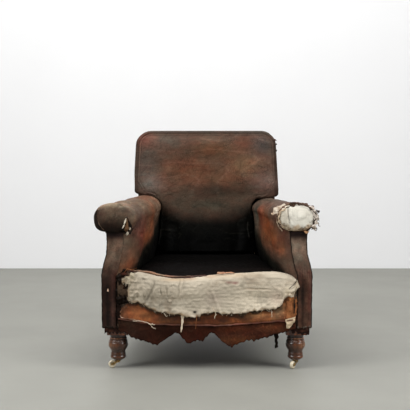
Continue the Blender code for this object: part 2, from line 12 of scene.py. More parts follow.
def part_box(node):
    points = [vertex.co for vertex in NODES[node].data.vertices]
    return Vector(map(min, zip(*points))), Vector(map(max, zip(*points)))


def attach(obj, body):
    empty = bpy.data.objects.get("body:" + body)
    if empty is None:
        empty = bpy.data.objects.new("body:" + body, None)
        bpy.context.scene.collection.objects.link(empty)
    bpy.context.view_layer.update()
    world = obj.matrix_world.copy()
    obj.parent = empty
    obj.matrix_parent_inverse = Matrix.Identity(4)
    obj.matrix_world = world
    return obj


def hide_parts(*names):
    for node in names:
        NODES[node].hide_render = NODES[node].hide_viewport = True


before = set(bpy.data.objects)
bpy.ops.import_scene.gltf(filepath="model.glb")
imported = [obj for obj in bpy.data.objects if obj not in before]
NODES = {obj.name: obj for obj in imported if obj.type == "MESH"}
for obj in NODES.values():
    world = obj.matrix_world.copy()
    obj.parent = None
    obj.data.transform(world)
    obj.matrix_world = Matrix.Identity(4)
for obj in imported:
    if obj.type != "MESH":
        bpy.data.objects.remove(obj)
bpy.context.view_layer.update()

# ---------------------------------------------------------------- sizes taken from the CAD, metres

FRAME_FRONT = -0.43
FACE = FRAME_FRONT - 0.0023  # front of the leather on the arm posts
PAD_BACK = FRAME_FRONT - 0.0003  # where the stuffed arm ends and the scroll pads begin
ARM_FRONT_X = 0.331
ARM_SPLAY = 0.087  # how much the arms come in, for each metre towards the back
ARM_ROLL = (0.0745, 0.0515)  # half the width and height of an arm's roll
ARM_ROLL_Z = 0.553
SCROLL_PAD = (0.078, 0.0545)  # half the width and height
SCROLL_Z = 0.556
SCROLL_DEPTH = 0.0187
BACK_TOP = 0.883
BACK_CORNER = 0.06
BACK_BOTTOM = 0.366
ROLL_HALF = 0.324
WHEEL_RADIUS = 0.014
WHEEL_WIDTH = 0.012
SIDES = {"left": -1, "right": 1}  # as seen from the front

# ---------------------------------------------------------------- sizes of the worn covers, metres

LEATHER = 0.002  # thickness of the cover leather
RIGHT_SAG = 0.013  # the right arm has sunk this much towards the back, and the back's ear with it
TORN_IN = 0.2  # the right roll is worn this much narrower on its outer side at the front
ARM_FULL_Y = -0.215  # behind this the inside of the arm has its full swell
ARM_END_Y = 0.3785
ARM_TUCK = 0.012  # length of the rounded rear end of an arm
NECK_CLEAR = 0.0022  # between the back pad and the arms it fits between
EAR_BOTTOM = ARM_ROLL_Z + ARM_ROLL[1]
EAR_ROUND = 0.016
BACK_EDGE = 0.009  # rounding of the back pad's front edge
DOME_POWER = 2.4  # how full the scroll pads are
RUN_ON = 0.72  # share of the left scroll's radius where its leather turns back along the arm
RIGHT_PAD = (0.063, 0.048)  # half the width and height of the calico pad
PAD_MIDDLE = np.array((ARM_FRONT_X - 0.008, SCROLL_Z))
PAD_SQUARE = 2.7  # how square that pad is, where 2 is round
SEAT_Z = 0.349
SEAT_FRONT_Y, SEAT_REAR_Y = -0.412, 0.35
STRAP_HALF = 0.028  # half the width of a jute strap
CALICO_ROWS = 62
SCRAP_Y = -0.45  # in front of everything that scraps are laid on
RAG_REARMOST = -0.375  # no scrap laid on a surface goes further back than this
LEAST_SHEET = 0.0101  # least side that a scrap's flat size is given
ARM_NAIL_STEP = 0.0245
BACK_NAIL_STEP = 0.0255
ANY_DEPTH = 9.0  # the reach of a mark along the direction it is seen from
CLOTH_FRAMES = 20  # steps that a pad is blown up for
CLOTH_SETTINGS = {"quality": 6, "mass": 0.4, "tension_stiffness": 25, "compression_stiffness": 25,
                  "shear_stiffness": 12, "bending_stiffness": 0.6, "use_pressure": True,
                  "uniform_pressure_force": 4.0, "vertex_group_mass": "held"}
WALL_Y = 2.58  # the studio wall behind the chair
LENS, SENSOR = 85.55, 36.0  # millimetres
CAMERA_PLACE = (-0.0068, -3.945, 0.8063)
CAMERA_TILT = 3.324  # degrees below level


# ---------------------------------------------------------------- curves and noise


def arm_x(y):
    """Centre line of an arm, which comes in towards the back."""
    return ARM_FRONT_X - ARM_SPLAY * (y - FRAME_FRONT)


def stile_y(z):
    """Middle of a back stile at a height."""
    return 0.3778 + 0.0753 * (z - 0.155)


def smooth(t):
    """0 below 0, 1 above 1, and an eased step between."""
    t = np.clip(t, 0, 1)
    return t * t * (3 - 2 * t)


def ramp(value, start, width):
    """Rises smoothly from 0 at start to 1 at a width beyond it."""
    return smooth((value - start) / width)


def fall(value, end, width):
    """Falls smoothly from 1 at a width below end to 0 at end."""
    return smooth((end - value) / width)


def bell(value, width):
    """1 where value is 0, falling to either side."""
    return np.exp(-(value / width) ** 2)


def mix(a, b, t):
    """From a at t = 0 to b at t = 1."""
    return a + (b - a) * t


def table(x, rows):
    """Straight-line reading of a short table of (place, value) pairs."""
    return np.interp(x, [row[0] for row in rows], [row[1] for row in rows])


def curve_table(x, rows, blur=0.012):
    """The same table with its corners rounded off."""
    return sum(table(x + k * blur, rows) for k in (-1, -0.5, 0, 0.5, 1)) / 5


def arc(centre, radii, first, last, count):
    """Points of an ellipse from one angle to another, in degrees."""
    angles = np.radians(np.linspace(first, last, count))
    return np.stack([centre[0] + radii[0] * np.cos(angles), centre[1] + radii[1] * np.sin(angles)], 1)


def circle(count):
    """Evenly spaced angles, once round."""
    return np.linspace(0, 2 * math.pi, count, endpoint=False)


def resample(path, count):
    """The path again with evenly spaced points."""
    path = np.asarray(path, float)
    steps = np.linalg.norm(np.diff(path, axis=0), axis=1)
    along = np.concatenate([[0], np.cumsum(steps)])
    places = np.linspace(0, along[-1], count)
    return np.stack([np.interp(places, along, path[:, k]) for k in range(path.shape[1])], 1)


def ripple(points, size, seed, waves=10):
    """Smooth noise of about -1 to 1 at each point, with bumps about size across."""
    random = np.random.default_rng(seed)
    total = np.zeros(points.shape[:-1])
    for _ in range(waves):
        heading = random.normal(size=points.shape[-1])
        heading *= 2 * math.pi / size * random.uniform(0.45, 1.0) / np.linalg.norm(heading)
        total += np.sin(points @ heading + random.uniform(0, 2 * math.pi))
    return total * 1.2 / math.sqrt(waves)


def wander(places, size, seed):
    """Smooth noise of about -1 to 1 along a line of places."""
    return ripple(np.stack([places, places * 0], -1), size, seed)


def crease(points, size, seed, width=0.16):
    """Meandering fold lines: 1 on a line, falling to 0 beside it."""
    return bell(ripple(points, size, seed, 7), width)


def lattice(x, y, z):
    """A grid of points from three arrays that broadcast together."""
    return np.stack(np.broadcast_arrays(x, y, z), -1).astype(float)


# ---------------------------------------------------------------- mesh building


def new_object(name, mesh):
    """An object put in the scene."""
    piece = bpy.data.objects.new(name, mesh)
    bpy.context.scene.collection.objects.link(piece)
    return piece


def mesh_piece(name, points, faces):
    """A smooth-shaded mesh object."""
    mesh = bpy.data.meshes.new(name)
    mesh.from_pydata([tuple(p) for p in np.asarray(points, float).reshape(-1, 3)], [], faces)
    mesh.validate()
    mesh.shade_smooth()
    return new_object(name, mesh)


def grid_faces(rows, columns, wrap=False, first=0, flip=False):
    """Quads between the points of a grid, closed round its columns if it wraps."""
    faces = []
    for i in range(rows - 1):
        for j in range(columns if wrap else columns - 1):
            k = (j + 1) % columns
            quad = (i * columns + j, i * columns + k, (i + 1) * columns + k, (i + 1) * columns + j)
            faces.append(tuple(first + q for q in (quad[::-1] if flip else quad)))
    return faces


def sheet_piece(name, points, wrap=False, flip=False, keep=None):
    """A piece from a grid of points. keep says which of its faces stay."""
    rows, columns = points.shape[:2]
    faces = grid_faces(rows, columns, wrap, flip=flip)
    if keep is not None:
        faces = [face for face, stays in zip(faces, np.asarray(keep).reshape(-1)) if stays]
    return mesh_piece(name, points, faces)


def edit_mesh(piece, change):
    """Runs change on a piece's mesh as a bmesh."""
    bm = bmesh.new()
    bm.from_mesh(piece.data)
    change(bm)
    bm.to_mesh(piece.data)
    bm.free()
    piece.data.shade_smooth()


def weld(piece):
    """Joins points that coincide, and turns the faces outwards."""
    def change(bm):
        bmesh.ops.remove_doubles(bm, verts=bm.verts, dist=0.00005)
        bmesh.ops.recalc_face_normals(bm, faces=bm.faces)
    edit_mesh(piece, change)


def close_ends(piece):
    """Fills the open ends, and turns the faces outwards."""
    def change(bm):
        bmesh.ops.holes_fill(bm, edges=[e for e in bm.edges if e.is_boundary])
        bmesh.ops.recalc_face_normals(bm, faces=bm.faces)
    edit_mesh(piece, change)


def drop_loose(piece):
    """Removes the points that no face uses."""
    def change(bm):
        bmesh.ops.delete(bm, geom=[v for v in bm.verts if not v.link_faces], context="VERTS")
    edit_mesh(piece, change)


def thicken(piece, thickness, offset=-1.0):
    """Gives a sheet its thickness, behind its face unless the offset says otherwise."""
    solid = piece.modifiers.new("thickness", "SOLIDIFY")
    solid.thickness = thickness
    solid.offset = offset
    solid.use_even_offset = False
    return piece


def face_towards(piece, direction):
    """Flips a piece's faces if most of them look the other way."""
    total = Vector((0, 0, 0))
    for polygon in piece.data.polygons:
        total += polygon.normal * polygon.area
    if total.dot(Vector(direction)) < 0:
        piece.data.flip_normals()


def tube_mesh(points, radii, sides=6, squash=1.0):
    """Vertices and faces of a closed tube along points."""
    points = np.asarray(points, float)
    radii = np.broadcast_to(np.asarray(radii, float), len(points))
    run = np.gradient(points, axis=0)
    run /= np.linalg.norm(run, axis=1)[:, None] + 1e-12
    side = np.cross(run, (0.0, 1.0, 0.05))
    side /= np.linalg.norm(side, axis=1)[:, None] + 1e-12
    up = np.cross(run, side)
    turn = circle(sides)
    ring = points[:, None] + radii[:, None, None] * (
        np.cos(turn)[None, :, None] * side[:, None] + squash * np.sin(turn)[None, :, None] * up[:, None])
    faces = grid_faces(len(points), sides, wrap=True)
    faces.append(tuple(range(sides))[::-1])
    faces.append(tuple((len(points) - 1) * sides + k for k in range(sides)))
    return ring.reshape(-1, 3), faces


def gather_meshes(name, parts):
    """One piece from several lists of vertices and faces."""
    points, faces, count = [], [], 0
    for vertices, polygons in parts:
        points.append(np.asarray(vertices, float))
        faces += [tuple(count + k for k in face) for face in polygons]
        count += len(vertices)
    return mesh_piece(name, np.concatenate(points), faces)


def trim(name, paths, material, base=None, marks=()):
    """Threads, welts and torn edges as one piece. paths is a list of (points, radius or radii)."""
    piece = gather_meshes(name, [tube_mesh(points, radii) for points, radii in paths])
    if base is not None:
        paint_marks(piece, base, marks)
    return dress(piece, material)


def nail_mesh(place, outward, radius=0.0042, height=0.0022):
    """A domed nail head standing on a surface."""
    rows, sides = 5, 10
    frame_of = Vector(outward).normalized().to_track_quat("Z", "Y").to_matrix()
    points = []
    for a in np.linspace(0, math.pi / 2, rows):
        for t in circle(sides):
            local = Vector((radius * math.cos(a) * math.cos(t), radius * math.cos(a) * math.sin(t),
                            height * math.sin(a)))
            points.append(tuple(Vector(place) + frame_of @ local))
    return points, grid_faces(rows, sides, wrap=True)


def nails(name, places, material):
    """A row of nails. places is a list of (point, outward direction)."""
    return dress(gather_meshes(name, [nail_mesh(point, outward) for point, outward in places]), material)


def points_of(piece):
    """A piece's points as an array."""
    flat = np.zeros(len(piece.data.vertices) * 3)
    piece.data.vertices.foreach_get("co", flat)
    return flat.reshape(-1, 3)


def grid_normals(grid):
    """Unit normals of a grid of points."""
    normal = np.cross(np.gradient(grid, axis=0), np.gradient(grid, axis=1))
    return normal / (np.linalg.norm(normal, axis=2, keepdims=True) + 1e-12)


def row_length(grid):
    """Mean length of a grid's rows."""
    return float(np.linalg.norm(np.diff(grid, axis=1), axis=2).sum(1).mean())


def swell(piece, held, cap):
    """Blows a padded piece up as cloth, with the held share of each point pinned and no point moving
    more than cap."""
    scene = bpy.context.scene
    start = points_of(piece)
    trial = new_object(piece.name + "_cloth", piece.data.copy())
    group = trial.vertex_groups.new(name="held")
    for step in range(1, 11):
        chosen = np.nonzero(np.round(np.clip(held, 0, 1) * 10) == step)[0]
        if len(chosen):
            group.add([int(k) for k in chosen], step / 10, "REPLACE")
    cover = trial.modifiers.new("cover", "CLOTH")
    for name, value in CLOTH_SETTINGS.items():
        setattr(cover.settings, name, value)
    cover.settings.effector_weights.gravity = 0
    cover.collision_settings.use_collision = False
    cover.collision_settings.use_self_collision = False
    cover.point_cache.frame_start = 1
    cover.point_cache.frame_end = CLOTH_FRAMES
    for frame_number in range(1, CLOTH_FRAMES + 1):
        scene.frame_set(frame_number)
    settled = trial.evaluated_get(bpy.context.evaluated_depsgraph_get())
    move = points_of(settled) - start
    scene.frame_set(1)
    mesh = trial.data
    bpy.data.objects.remove(trial)
    bpy.data.meshes.remove(mesh)
    far = np.linalg.norm(move, axis=1)[:, None]
    move *= cap * np.tanh(far / cap) / np.maximum(far, 1e-9)
    piece.data.vertices.foreach_set("co", (start + move).astype(np.float32).reshape(-1))
    piece.data.update()


def dress(piece, material, body="chair"):
    """Gives a piece its material and the body it rides on."""
    piece.data.materials.append(material)
    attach(piece, body)
    return piece


# ---------------------------------------------------------------- vertex colours


def paint(piece, colours):
    """Gives each vertex its leather colour, which the material then mottles."""
    colours = np.clip(colours, 0, 1)
    layer = piece.data.color_attributes.new("paint", "FLOAT_COLOR", "POINT")
    layer.data.foreach_set("color", np.concatenate([colours, np.ones((len(colours), 1))], 1).reshape(-1))
    return piece


def spots(points, base, marks):
    """A base colour with soft marks over it. A mark is (centre, reach, colour, strength), and a
    centre of two numbers is (x, z), for what is seen from the front."""
    colour = np.broadcast_to(np.asarray(base, float), points.shape).copy()
    for centre, reach, tint, strength in marks:
        if len(centre) == 2:
            centre, reach = (centre[0], 0, centre[1]), (reach[0], ANY_DEPTH, reach[1])
        away = (((points - np.asarray(centre)) / np.asarray(reach)) ** 2).sum(1)
        share = (strength * np.exp(-away))[:, None]
        colour = colour * (1 - share) + np.asarray(tint) * share
    return colour


def paint_marks(piece, base, marks=()):
    """Paints a piece in a base colour with soft marks over it, as spots takes them."""
    return paint(piece, spots(points_of(piece), base, marks))


def blend_in(colour, tint, share):
    """Each point's colour turned towards a tint by its share."""
    return mix(colour, np.array(tint), share[:, None])


# ---------------------------------------------------------------- scraps and tufts


def tuft(name, centre, radii, lean, material, seed=1, rows=10, sides=16):
    """A lump of wadding pulled out of a tear, leaning in the plane of the front."""
    tilt = np.linspace(0.02, math.pi - 0.02, rows)[:, None]
    turn = circle(sides)
    ball = lattice(np.sin(tilt) * np.cos(turn), np.sin(tilt) * np.sin(turn), np.cos(tilt))
    ball *= (1 + 0.22 * ripple(ball, 1.1, seed) + 0.1 * ripple(ball, 0.45, seed + 1))[..., None]
    ball *= np.asarray(radii)
    cos, sin = math.cos(lean), math.sin(lean)
    x = ball[..., 0] * cos + ball[..., 2] * sin
    z = ball[..., 2] * cos - ball[..., 0] * sin
    piece = sheet_piece(name, lattice(x, ball[..., 1], z) + np.asarray(centre), wrap=True)
    weld(piece)
    close_ends(piece)
    dress(piece, material)
    return piece


def rag(name, first, second, material, colour, thickness=0.0016, crumple=0.002, size=0.018,
        ragged=0.0015, cells=0.0022, seed=1, marks=(),
        towards=(0, -1, 0), lay=None, lift=0.0):
    """A torn scrap between two edge paths, with ragged edges and a crumpled face. Given a Lay, it
    follows the surface behind it, and its edges may be (x, z) places."""
    first, second = np.asarray(first, float), np.asarray(second, float)
    if first.shape[1] == 2:
        first, second = (np.insert(path, 1, SCRAP_Y, axis=1) for path in (first, second))
    run = max(np.linalg.norm(np.diff(path, axis=0), axis=1).sum() for path in (first, second))
    rows = max(6, int(run / cells))
    columns = max(5, int(np.linalg.norm(first.mean(0) - second.mean(0)) / cells))
    edge_a, edge_b = resample(first, rows), resample(second, rows)
    step = (edge_b - edge_a) / (np.linalg.norm(edge_b - edge_a, axis=1)[:, None] + 1e-9)
    edge_a = edge_a + step * ragged * ripple(edge_a, 0.012, seed + 1)[:, None]
    edge_b = edge_b + step * ragged * ripple(edge_b, 0.01, seed + 2)[:, None]
    share = np.linspace(0, 1, columns)[None, :, None]
    grid = edge_a[:, None] * (1 - share) + edge_b[:, None] * share
    if lay is not None:
        for point in grid.reshape(-1, 3):
            point[1] = min(lay.front(point[0], point[2], lift, point[1])[1], RAG_REARMOST)
    flat = [max(LEAST_SHEET, row_length(grid)), max(LEAST_SHEET, row_length(grid.transpose(1, 0, 2)))]
    fold = 0.6 * ripple(grid, size, seed) + 0.8 * (crease(grid, size * 1.6, seed + 5) - 0.3)
    grid = grid + grid_normals(grid) * (crumple * fold)[..., None]
    piece = sheet_piece(name, grid)
    face_towards(piece, towards)
    paint_marks(piece, colour, marks)
    thicken(piece, thickness)
    dress(piece, material)
    return piece


class Lay:
    """Finds where things lie on the pieces as seen from straight in front."""

    def __init__(self, *pieces):
        bpy.context.view_layer.update()
        points, faces = [], []
        for piece in pieces:
            faces += [tuple(len(points) + k for k in face.vertices) for face in piece.data.polygons]
            points += [tuple(p) for p in points_of(piece)]
        self.tree = BVHTree.FromPolygons(points, faces)

    def front(self, x, z, lift, otherwise):
        """The place in front of the surface at x and z, or at the depth given as otherwise."""
        hit = self.tree.ray_cast(Vector((x, -1.0, z)), Vector((0, 1, 0)))[0]
        return np.array((x, (otherwise if hit is None else hit.y) - lift, z))

    def nearest(self, point, lift):
        """The nearest place on the surface, standing off it by lift."""
        place, normal = self.tree.find_nearest(Vector(point))[:2]
        return np.array(place + normal * lift)


# ---------------------------------------------------------------- materials


class Shader:
    """A material whose nodes are added by short calls."""

    def __init__(self, name, roughness=0.6, metallic=0.0, specular=0.5):
        self.material = bpy.data.materials.new(name)
        self.material.use_nodes = True
        self.tree = self.material.node_tree
        self.surface = self.tree.nodes["Principled BSDF"]
        self.set("Roughness", roughness)
        self.set("Metallic", metallic)
        self.set("Specular IOR Level", specular)
        self.place = self.add("TexCoord").outputs["Object"]

    def put(self, socket, value):
        """Gives a socket a link, a colour or a number."""
        if isinstance(value, bpy.types.NodeSocket):
            self.tree.links.new(value, socket)
        elif isinstance(value, tuple) and len(value) == 3 and socket.type == "RGBA":
            socket.default_value = (*value, 1)
        else:
            socket.default_value = value

    def set(self, name, value):
        """Sets an input of the surface."""
        self.put(self.surface.inputs[name], value)

    def add(self, kind, values=None, **settings):
        """A new node with its settings and inputs."""
        node = self.tree.nodes.new("ShaderNode" + kind)
        for key, value in settings.items():
            setattr(node, key, value)
        for key, value in (values or {}).items():
            self.put(node.inputs[key], value)
        return node

    def stretch(self, scale, turn=(0, 0, 0)):
        """The object's place, scaled and turned."""
        node = self.add("Mapping", {"Vector": self.place, "Scale": scale, "Rotation": turn})
        return node.outputs["Vector"]

    def noise(self, scale, detail=4.0, rough=0.55, place=None, distortion=0.0):
        """Cloudy noise of about 0 to 1."""
        values = {"Vector": place or self.place, "Scale": scale, "Detail": detail,
                  "Roughness": rough, "Distortion": distortion}
        return self.add("TexNoise", values).outputs["Fac"]

    def cells(self, scale, feature="F1", place=None):
        """Distance in a pattern of cells."""
        values = {"Vector": place or self.place, "Scale": scale}
        return self.add("TexVoronoi", values, feature=feature).outputs["Distance"]

    def wave(self, scale, place, distortion, direction):
        """Even bands."""
        values = {"Vector": place, "Scale": scale, "Distortion": distortion, "Detail": 2.0,
                  "Detail Scale": 2.0}
        return self.add("TexWave", values, bands_direction=direction).outputs["Fac"]

    def span(self, value, low, high, to_low=0.0, to_high=1.0):
        """A value mapped from one span to another, eased and clamped."""
        values = {"Value": value, "From Min": low, "From Max": high, "To Min": to_low,
                  "To Max": to_high}
        return self.add("MapRange", values, interpolation_type="SMOOTHSTEP").outputs["Result"]

    def maths(self, operation, a, b=0.0):
        """One operation on two numbers."""
        return self.add("Math", {0: a, 1: b}, operation=operation).outputs[0]

    def blend(self, share, a, b, how="MIX"):
        """Colour a with a share of b."""
        node = self.add("Mix", data_type="RGBA", blend_type=how)
        self.put(node.inputs[0], share)
        self.put(node.inputs[6], a)
        self.put(node.inputs[7], b)
        return node.outputs[2]

    def scale_colour(self, colour, amount):
        """A colour times a number."""
        node = self.add("VectorMath", {0: colour}, operation="SCALE")
        self.put(node.inputs["Scale"], amount)
        return node.outputs[0]

    def bump(self, height, strength, distance, below=None):
        """A normal from a height, over the one below."""
        values = {"Height": height, "Strength": strength, "Distance": distance}
        if below is not None:
            values["Normal"] = below
        return self.add("Bump", values).outputs["Normal"]


def leather(name, tint=None, roughness=(0.46, 0.7), mottle=1.0, cracks=1.0, specular=0.12,
            drag=(1.0, 1.0, 1.0)):
    """Old hide: painted or plain colour, mottled, scuffed, grained and cracked. drag stretches its
    clouds and scuffs along an axis."""
    s = Shader(name, specular=specular)
    dragged = s.stretch(drag)
    base = tint or s.add("Attribute", attribute_name="paint").outputs["Color"]
    cloud = s.noise(13, 5, 0.6, place=dragged, distortion=0.5)
    fine = s.noise(75, 6, 0.65, place=dragged)
    rubbed = s.noise(34, 7, 0.7, place=dragged, distortion=1.2)
    grain = s.cells(620)
    crack = s.cells(95, "DISTANCE_TO_EDGE", place=s.blend(0.012, s.place, s.add(
        "TexNoise", {"Vector": s.place, "Scale": 60.0, "Detail": 3.0}).outputs["Color"]))
    crack_line = s.span(crack, 0.0, 0.07, 1.0, 0.0)
    where = s.span(s.noise(9, 3, 0.5), 0.48, 0.66)
    shade = s.span(cloud, 0.3, 0.72, 1.0 - 0.34 * mottle, 1.0 + 0.3 * mottle)
    colour = s.scale_colour(base, shade)
    colour = s.scale_colour(colour, s.span(fine, 0.28, 0.72, 1.0 - 0.22 * mottle, 1.0 + 0.22 * mottle))
    warm = s.span(s.noise(27, 4, 0.6, place=dragged), 0.35, 0.65)
    redder = s.blend(warm, (0.93, 1.03, 1.03), (1.08, 0.96, 0.93))
    colour = s.blend(1.0, colour, redder, "MULTIPLY")
    tone = s.add("RGBToBW", {"Color": base}).outputs[0]
    scuffs = s.maths("MULTIPLY", s.span(rubbed, 0.56, 0.74), s.span(tone, 0.004, 0.045, 0.0, 0.42 * mottle))
    pale = s.scale_colour(s.blend(0.45, base, (0.2, 0.11, 0.065)), 1.35)
    colour = s.blend(scuffs, colour, pale)
    dirt = s.maths("MULTIPLY", s.span(s.noise(22, 6, 0.62), 0.52, 0.7), 0.4 * mottle)
    colour = s.blend(dirt, colour, s.scale_colour(base, 0.45))
    lines = s.maths("MULTIPLY", s.maths("MULTIPLY", crack_line, where), 0.65 * cracks)
    colour = s.blend(lines, colour, s.scale_colour(base, 0.3))
    speckle = s.span(s.noise(210, 4, 0.7), 0.3, 0.7, 0.84, 1.14)
    colour = s.scale_colour(colour, speckle)
    s.set("Base Color", colour)
    rough = s.span(fine, 0.25, 0.75, roughness[0], roughness[1])
    s.set("Roughness", s.maths("ADD", rough, s.maths("MULTIPLY", scuffs, 0.25)))
    creases = s.bump(s.noise(48, 5, 0.6, distortion=0.8), 0.35, 0.003)
    broken = s.bump(s.maths("MULTIPLY", lines, -1.0), 0.6, 0.0012, creases)
    s.set("Normal", s.bump(grain, 0.12, 0.0006, broken))
    return s.material


def cloth(name, colour, dirty, thread=1500.0, painted=True, bump=0.4):
    """A plain woven cloth with stains."""
    s = Shader(name, roughness=0.92, specular=0.15)
    warp = s.wave(thread / 6.2832, s.place, 0.6, "X")
    weft = s.wave(thread / 6.2832, s.place, 0.6, "Z")
    weave = s.maths("MAXIMUM", warp, weft)
    base = colour
    if painted:
        base = s.add("Attribute", attribute_name="paint").outputs["Color"]
    stain = s.span(s.noise(11, 6, 0.62, distortion=0.7), 0.5, 0.74)
    specks = s.span(s.noise(120, 3, 0.6), 0.66, 0.76)
    slub = s.span(s.noise(26, 4, 0.6, place=s.stretch((1, 1, 9.0))), 0.3, 0.7, 0.95, 1.04)
    shade = s.scale_colour(base, slub)
    shade = s.blend(s.maths("MULTIPLY", stain, 0.42), shade, dirty)
    shade = s.blend(s.maths("MULTIPLY", specks, 0.35), shade, s.scale_colour(base, 0.45))
    s.set("Base Color", s.scale_colour(shade, s.span(weave, 0.0, 1.0, 0.86, 1.04)))
    rumple = s.bump(s.noise(60, 5, 0.6), 0.35, 0.003)
    s.set("Normal", s.bump(weave, bump, 0.0006, rumple))
    return s.material


def fibre(name, dark, light, scale=300.0, roughness=0.95):
    """Matted hair, flock or the fibrous flesh side of a hide."""
    s = Shader(name, roughness=roughness, specular=0.2)
    strands = s.noise(scale, 5, 0.7, place=s.stretch((1.0, 0.4, 0.22)), distortion=2.5)
    clumps = s.noise(28, 5, 0.6)
    share = s.maths("ADD", s.maths("MULTIPLY", strands, 0.7), s.maths("MULTIPLY", clumps, 0.5))
    s.set("Base Color", s.blend(s.span(share, 0.42, 0.78), dark, light))
    s.set("Normal", s.bump(strands, 0.7, 0.0015))
    return s.material


def polished_wood(name, dark=None, light=None, roughness=(0.16, 0.38), grain_turn=(0, 0, 0), wear=0.5):
    """Stained and polished wood with long grain up the piece and rubbed places, painted if it has no
    colours."""
    s = Shader(name, specular=0.5)
    if dark is None:
        base = s.add("Attribute", attribute_name="paint").outputs["Color"]
        dark, light = s.scale_colour(base, 0.6), s.scale_colour(base, 1.3)
    along = s.stretch((34.0, 34.0, 3.0), grain_turn)
    rings = s.noise(1.0, 5, 0.6, place=along, distortion=1.4)
    pores = s.noise(6.0, 3, 0.5, place=s.stretch((90.0, 90.0, 6.0), grain_turn))
    colour = s.blend(s.span(rings, 0.35, 0.65), dark, light)
    colour = s.scale_colour(colour, s.span(pores, 0.35, 0.55, 0.62, 1.0))
    rub = s.span(s.noise(30, 6, 0.65), 0.55, 0.72)
    colour = s.blend(s.maths("MULTIPLY", rub, wear), colour, s.scale_colour(light, 2.0))
    s.set("Base Color", colour)
    s.set("Roughness", s.span(s.noise(40, 5, 0.6), 0.3, 0.7, *roughness))
    s.set("Coat Weight", 0.35)
    s.set("Coat Roughness", 0.16)
    s.set("Normal", s.bump(pores, 0.15, 0.0006))
    return s.material


def raw_wood(name, dark, light):
    """Plain old wood with its grain along the piece."""
    s = Shader(name, roughness=0.62)
    along = s.stretch((60.0, 3.0, 60.0))
    rings = s.noise(1.0, 5, 0.6, place=along, distortion=1.0)
    flecks = s.noise(5.0, 2, 0.5, place=s.stretch((200.0, 22.0, 200.0)))
    colour = s.blend(s.span(rings, 0.3, 0.7), dark, light)
    s.set("Base Color", s.scale_colour(colour, s.span(flecks, 0.3, 0.7, 0.8, 1.1)))
    s.set("Normal", s.bump(rings, 0.2, 0.001))
    return s.material


def old_metal(name, bright, dull, roughness=(0.28, 0.6), metallic=1.0):
    """Tarnished metal."""
    s = Shader(name, metallic=metallic)
    tarnish = s.span(s.noise(130, 6, 0.65), 0.42, 0.62)
    s.set("Base Color", s.blend(tarnish, bright, dull))
    s.set("Roughness", s.span(s.noise(180, 4, 0.6), 0.3, 0.7, *roughness))
    s.set("Normal", s.bump(s.noise(420, 3, 0.5), 0.15, 0.0005))
    return s.material


def crazed_porcelain(name):
    """Glazed porcelain, grimy and finely cracked."""
    s = Shader(name, specular=0.5)
    crazing = s.span(s.cells(330, "DISTANCE_TO_EDGE"), 0.0, 0.05, 1.0, 0.0)
    grime = s.span(s.noise(150, 5, 0.6), 0.45, 0.7)
    colour = s.blend(s.maths("MULTIPLY", grime, 0.55), (0.78, 0.7, 0.52), (0.42, 0.3, 0.15))
    s.set("Base Color", s.blend(s.maths("MULTIPLY", crazing, 0.5), colour, (0.25, 0.17, 0.08)))
    s.set("Roughness", s.span(grime, 0.0, 1.0, 0.18, 0.5))
    s.set("Normal", s.bump(crazing, 0.1, 0.0003))
    return s.material


def woven_strap(name, threads):
    """Coarse jute webbing or hessian over painted colours, with dust and loose fibres."""
    s = Shader(name, roughness=0.95, specular=0.1)
    base = s.add("Attribute", attribute_name="paint").outputs["Color"]
    warp = s.wave(threads, s.place, 0.8, "X")
    weft = s.wave(threads, s.place, 0.8, "Y")
    weave = s.maths("MULTIPLY", warp, weft)
    dust = s.maths("MULTIPLY", s.span(s.noise(16, 5, 0.6), 0.35, 0.7), 0.5)
    colour = s.blend(dust, base, s.scale_colour(base, 0.45))
    fibres = s.span(s.noise(90, 5, 0.7, distortion=2.0), 0.35, 0.7, 0.75, 1.15)
    s.set("Base Color", s.scale_colour(s.scale_colour(colour, fibres), s.span(weave, 0.0, 0.6, 0.55, 1.1)))
    s.set("Normal", s.bump(weave, 0.7, 0.001))
    return s.material


HIDE = leather("worn_hide")
BACK_HIDE = leather("smooth_worn_hide", mottle=0.62, specular=0.045, drag=(0.55, 1.0, 1.0))
ARM_HIDE = leather("arm_worn_hide", mottle=0.85, cracks=0.7, drag=(1.0, 0.3, 1.0))
DARK_HIDE = leather("dark_worn_hide", roughness=(0.42, 0.66), mottle=0.8, specular=0.06)
SEAT_HIDE = leather("blackened_seat_hide", roughness=(0.5, 0.72), mottle=0.7, specular=0.03)
TAN_HIDE = leather("bare_tan_hide", roughness=(0.5, 0.8), mottle=1.1, cracks=0.5, specular=0.3)
CALICO = cloth("stained_calico", (0.42, 0.35, 0.26), (0.27, 0.19, 0.12))
THREAD = cloth("loose_thread", (0.72, 0.6, 0.45), (0.5, 0.38, 0.26), painted=False, bump=0.1)
WADDING = fibre("white_wadding", (0.5, 0.42, 0.32), (0.82, 0.75, 0.62), 420.0)
HAIR = fibre("horsehair_stuffing", (0.02, 0.012, 0.008), (0.12, 0.075, 0.045), 420.0)
FLESH = fibre("torn_flesh_side", (0.145, 0.044, 0.015), (0.4, 0.155, 0.056), 260.0, 0.85)
# near-black fibre for dark threads, and for painted shade in the split, the open seam, the slit, the hole and
# the crease, and along the facings' edges
BLACK_THREAD_AND_SHADE = fibre("black_thread_and_painted_shade", (0.004, 0.003, 0.002), (0.018, 0.01, 0.006), 260.0)
OAK = polished_wood("stained_oak_polish", (0.034, 0.008, 0.003), (0.172, 0.047, 0.013), (0.16, 0.34))
TURNED_OAK = polished_wood("turned_oak_polish", roughness=(0.26, 0.42), wear=0.25)
BEECH = raw_wood("aged_beech", (0.055, 0.029, 0.015), (0.105, 0.058, 0.031))
BRASS = old_metal("aged_brass", (0.52, 0.35, 0.15), (0.15, 0.085, 0.035), (0.26, 0.52))
NAIL_METAL = old_metal("dull_nails", (0.13, 0.1, 0.08), (0.04, 0.028, 0.02), (0.45, 0.75))
BLACK_NAILS = old_metal("blackened_nails", (0.03, 0.023, 0.018), (0.014, 0.01, 0.008), (0.6, 0.85))
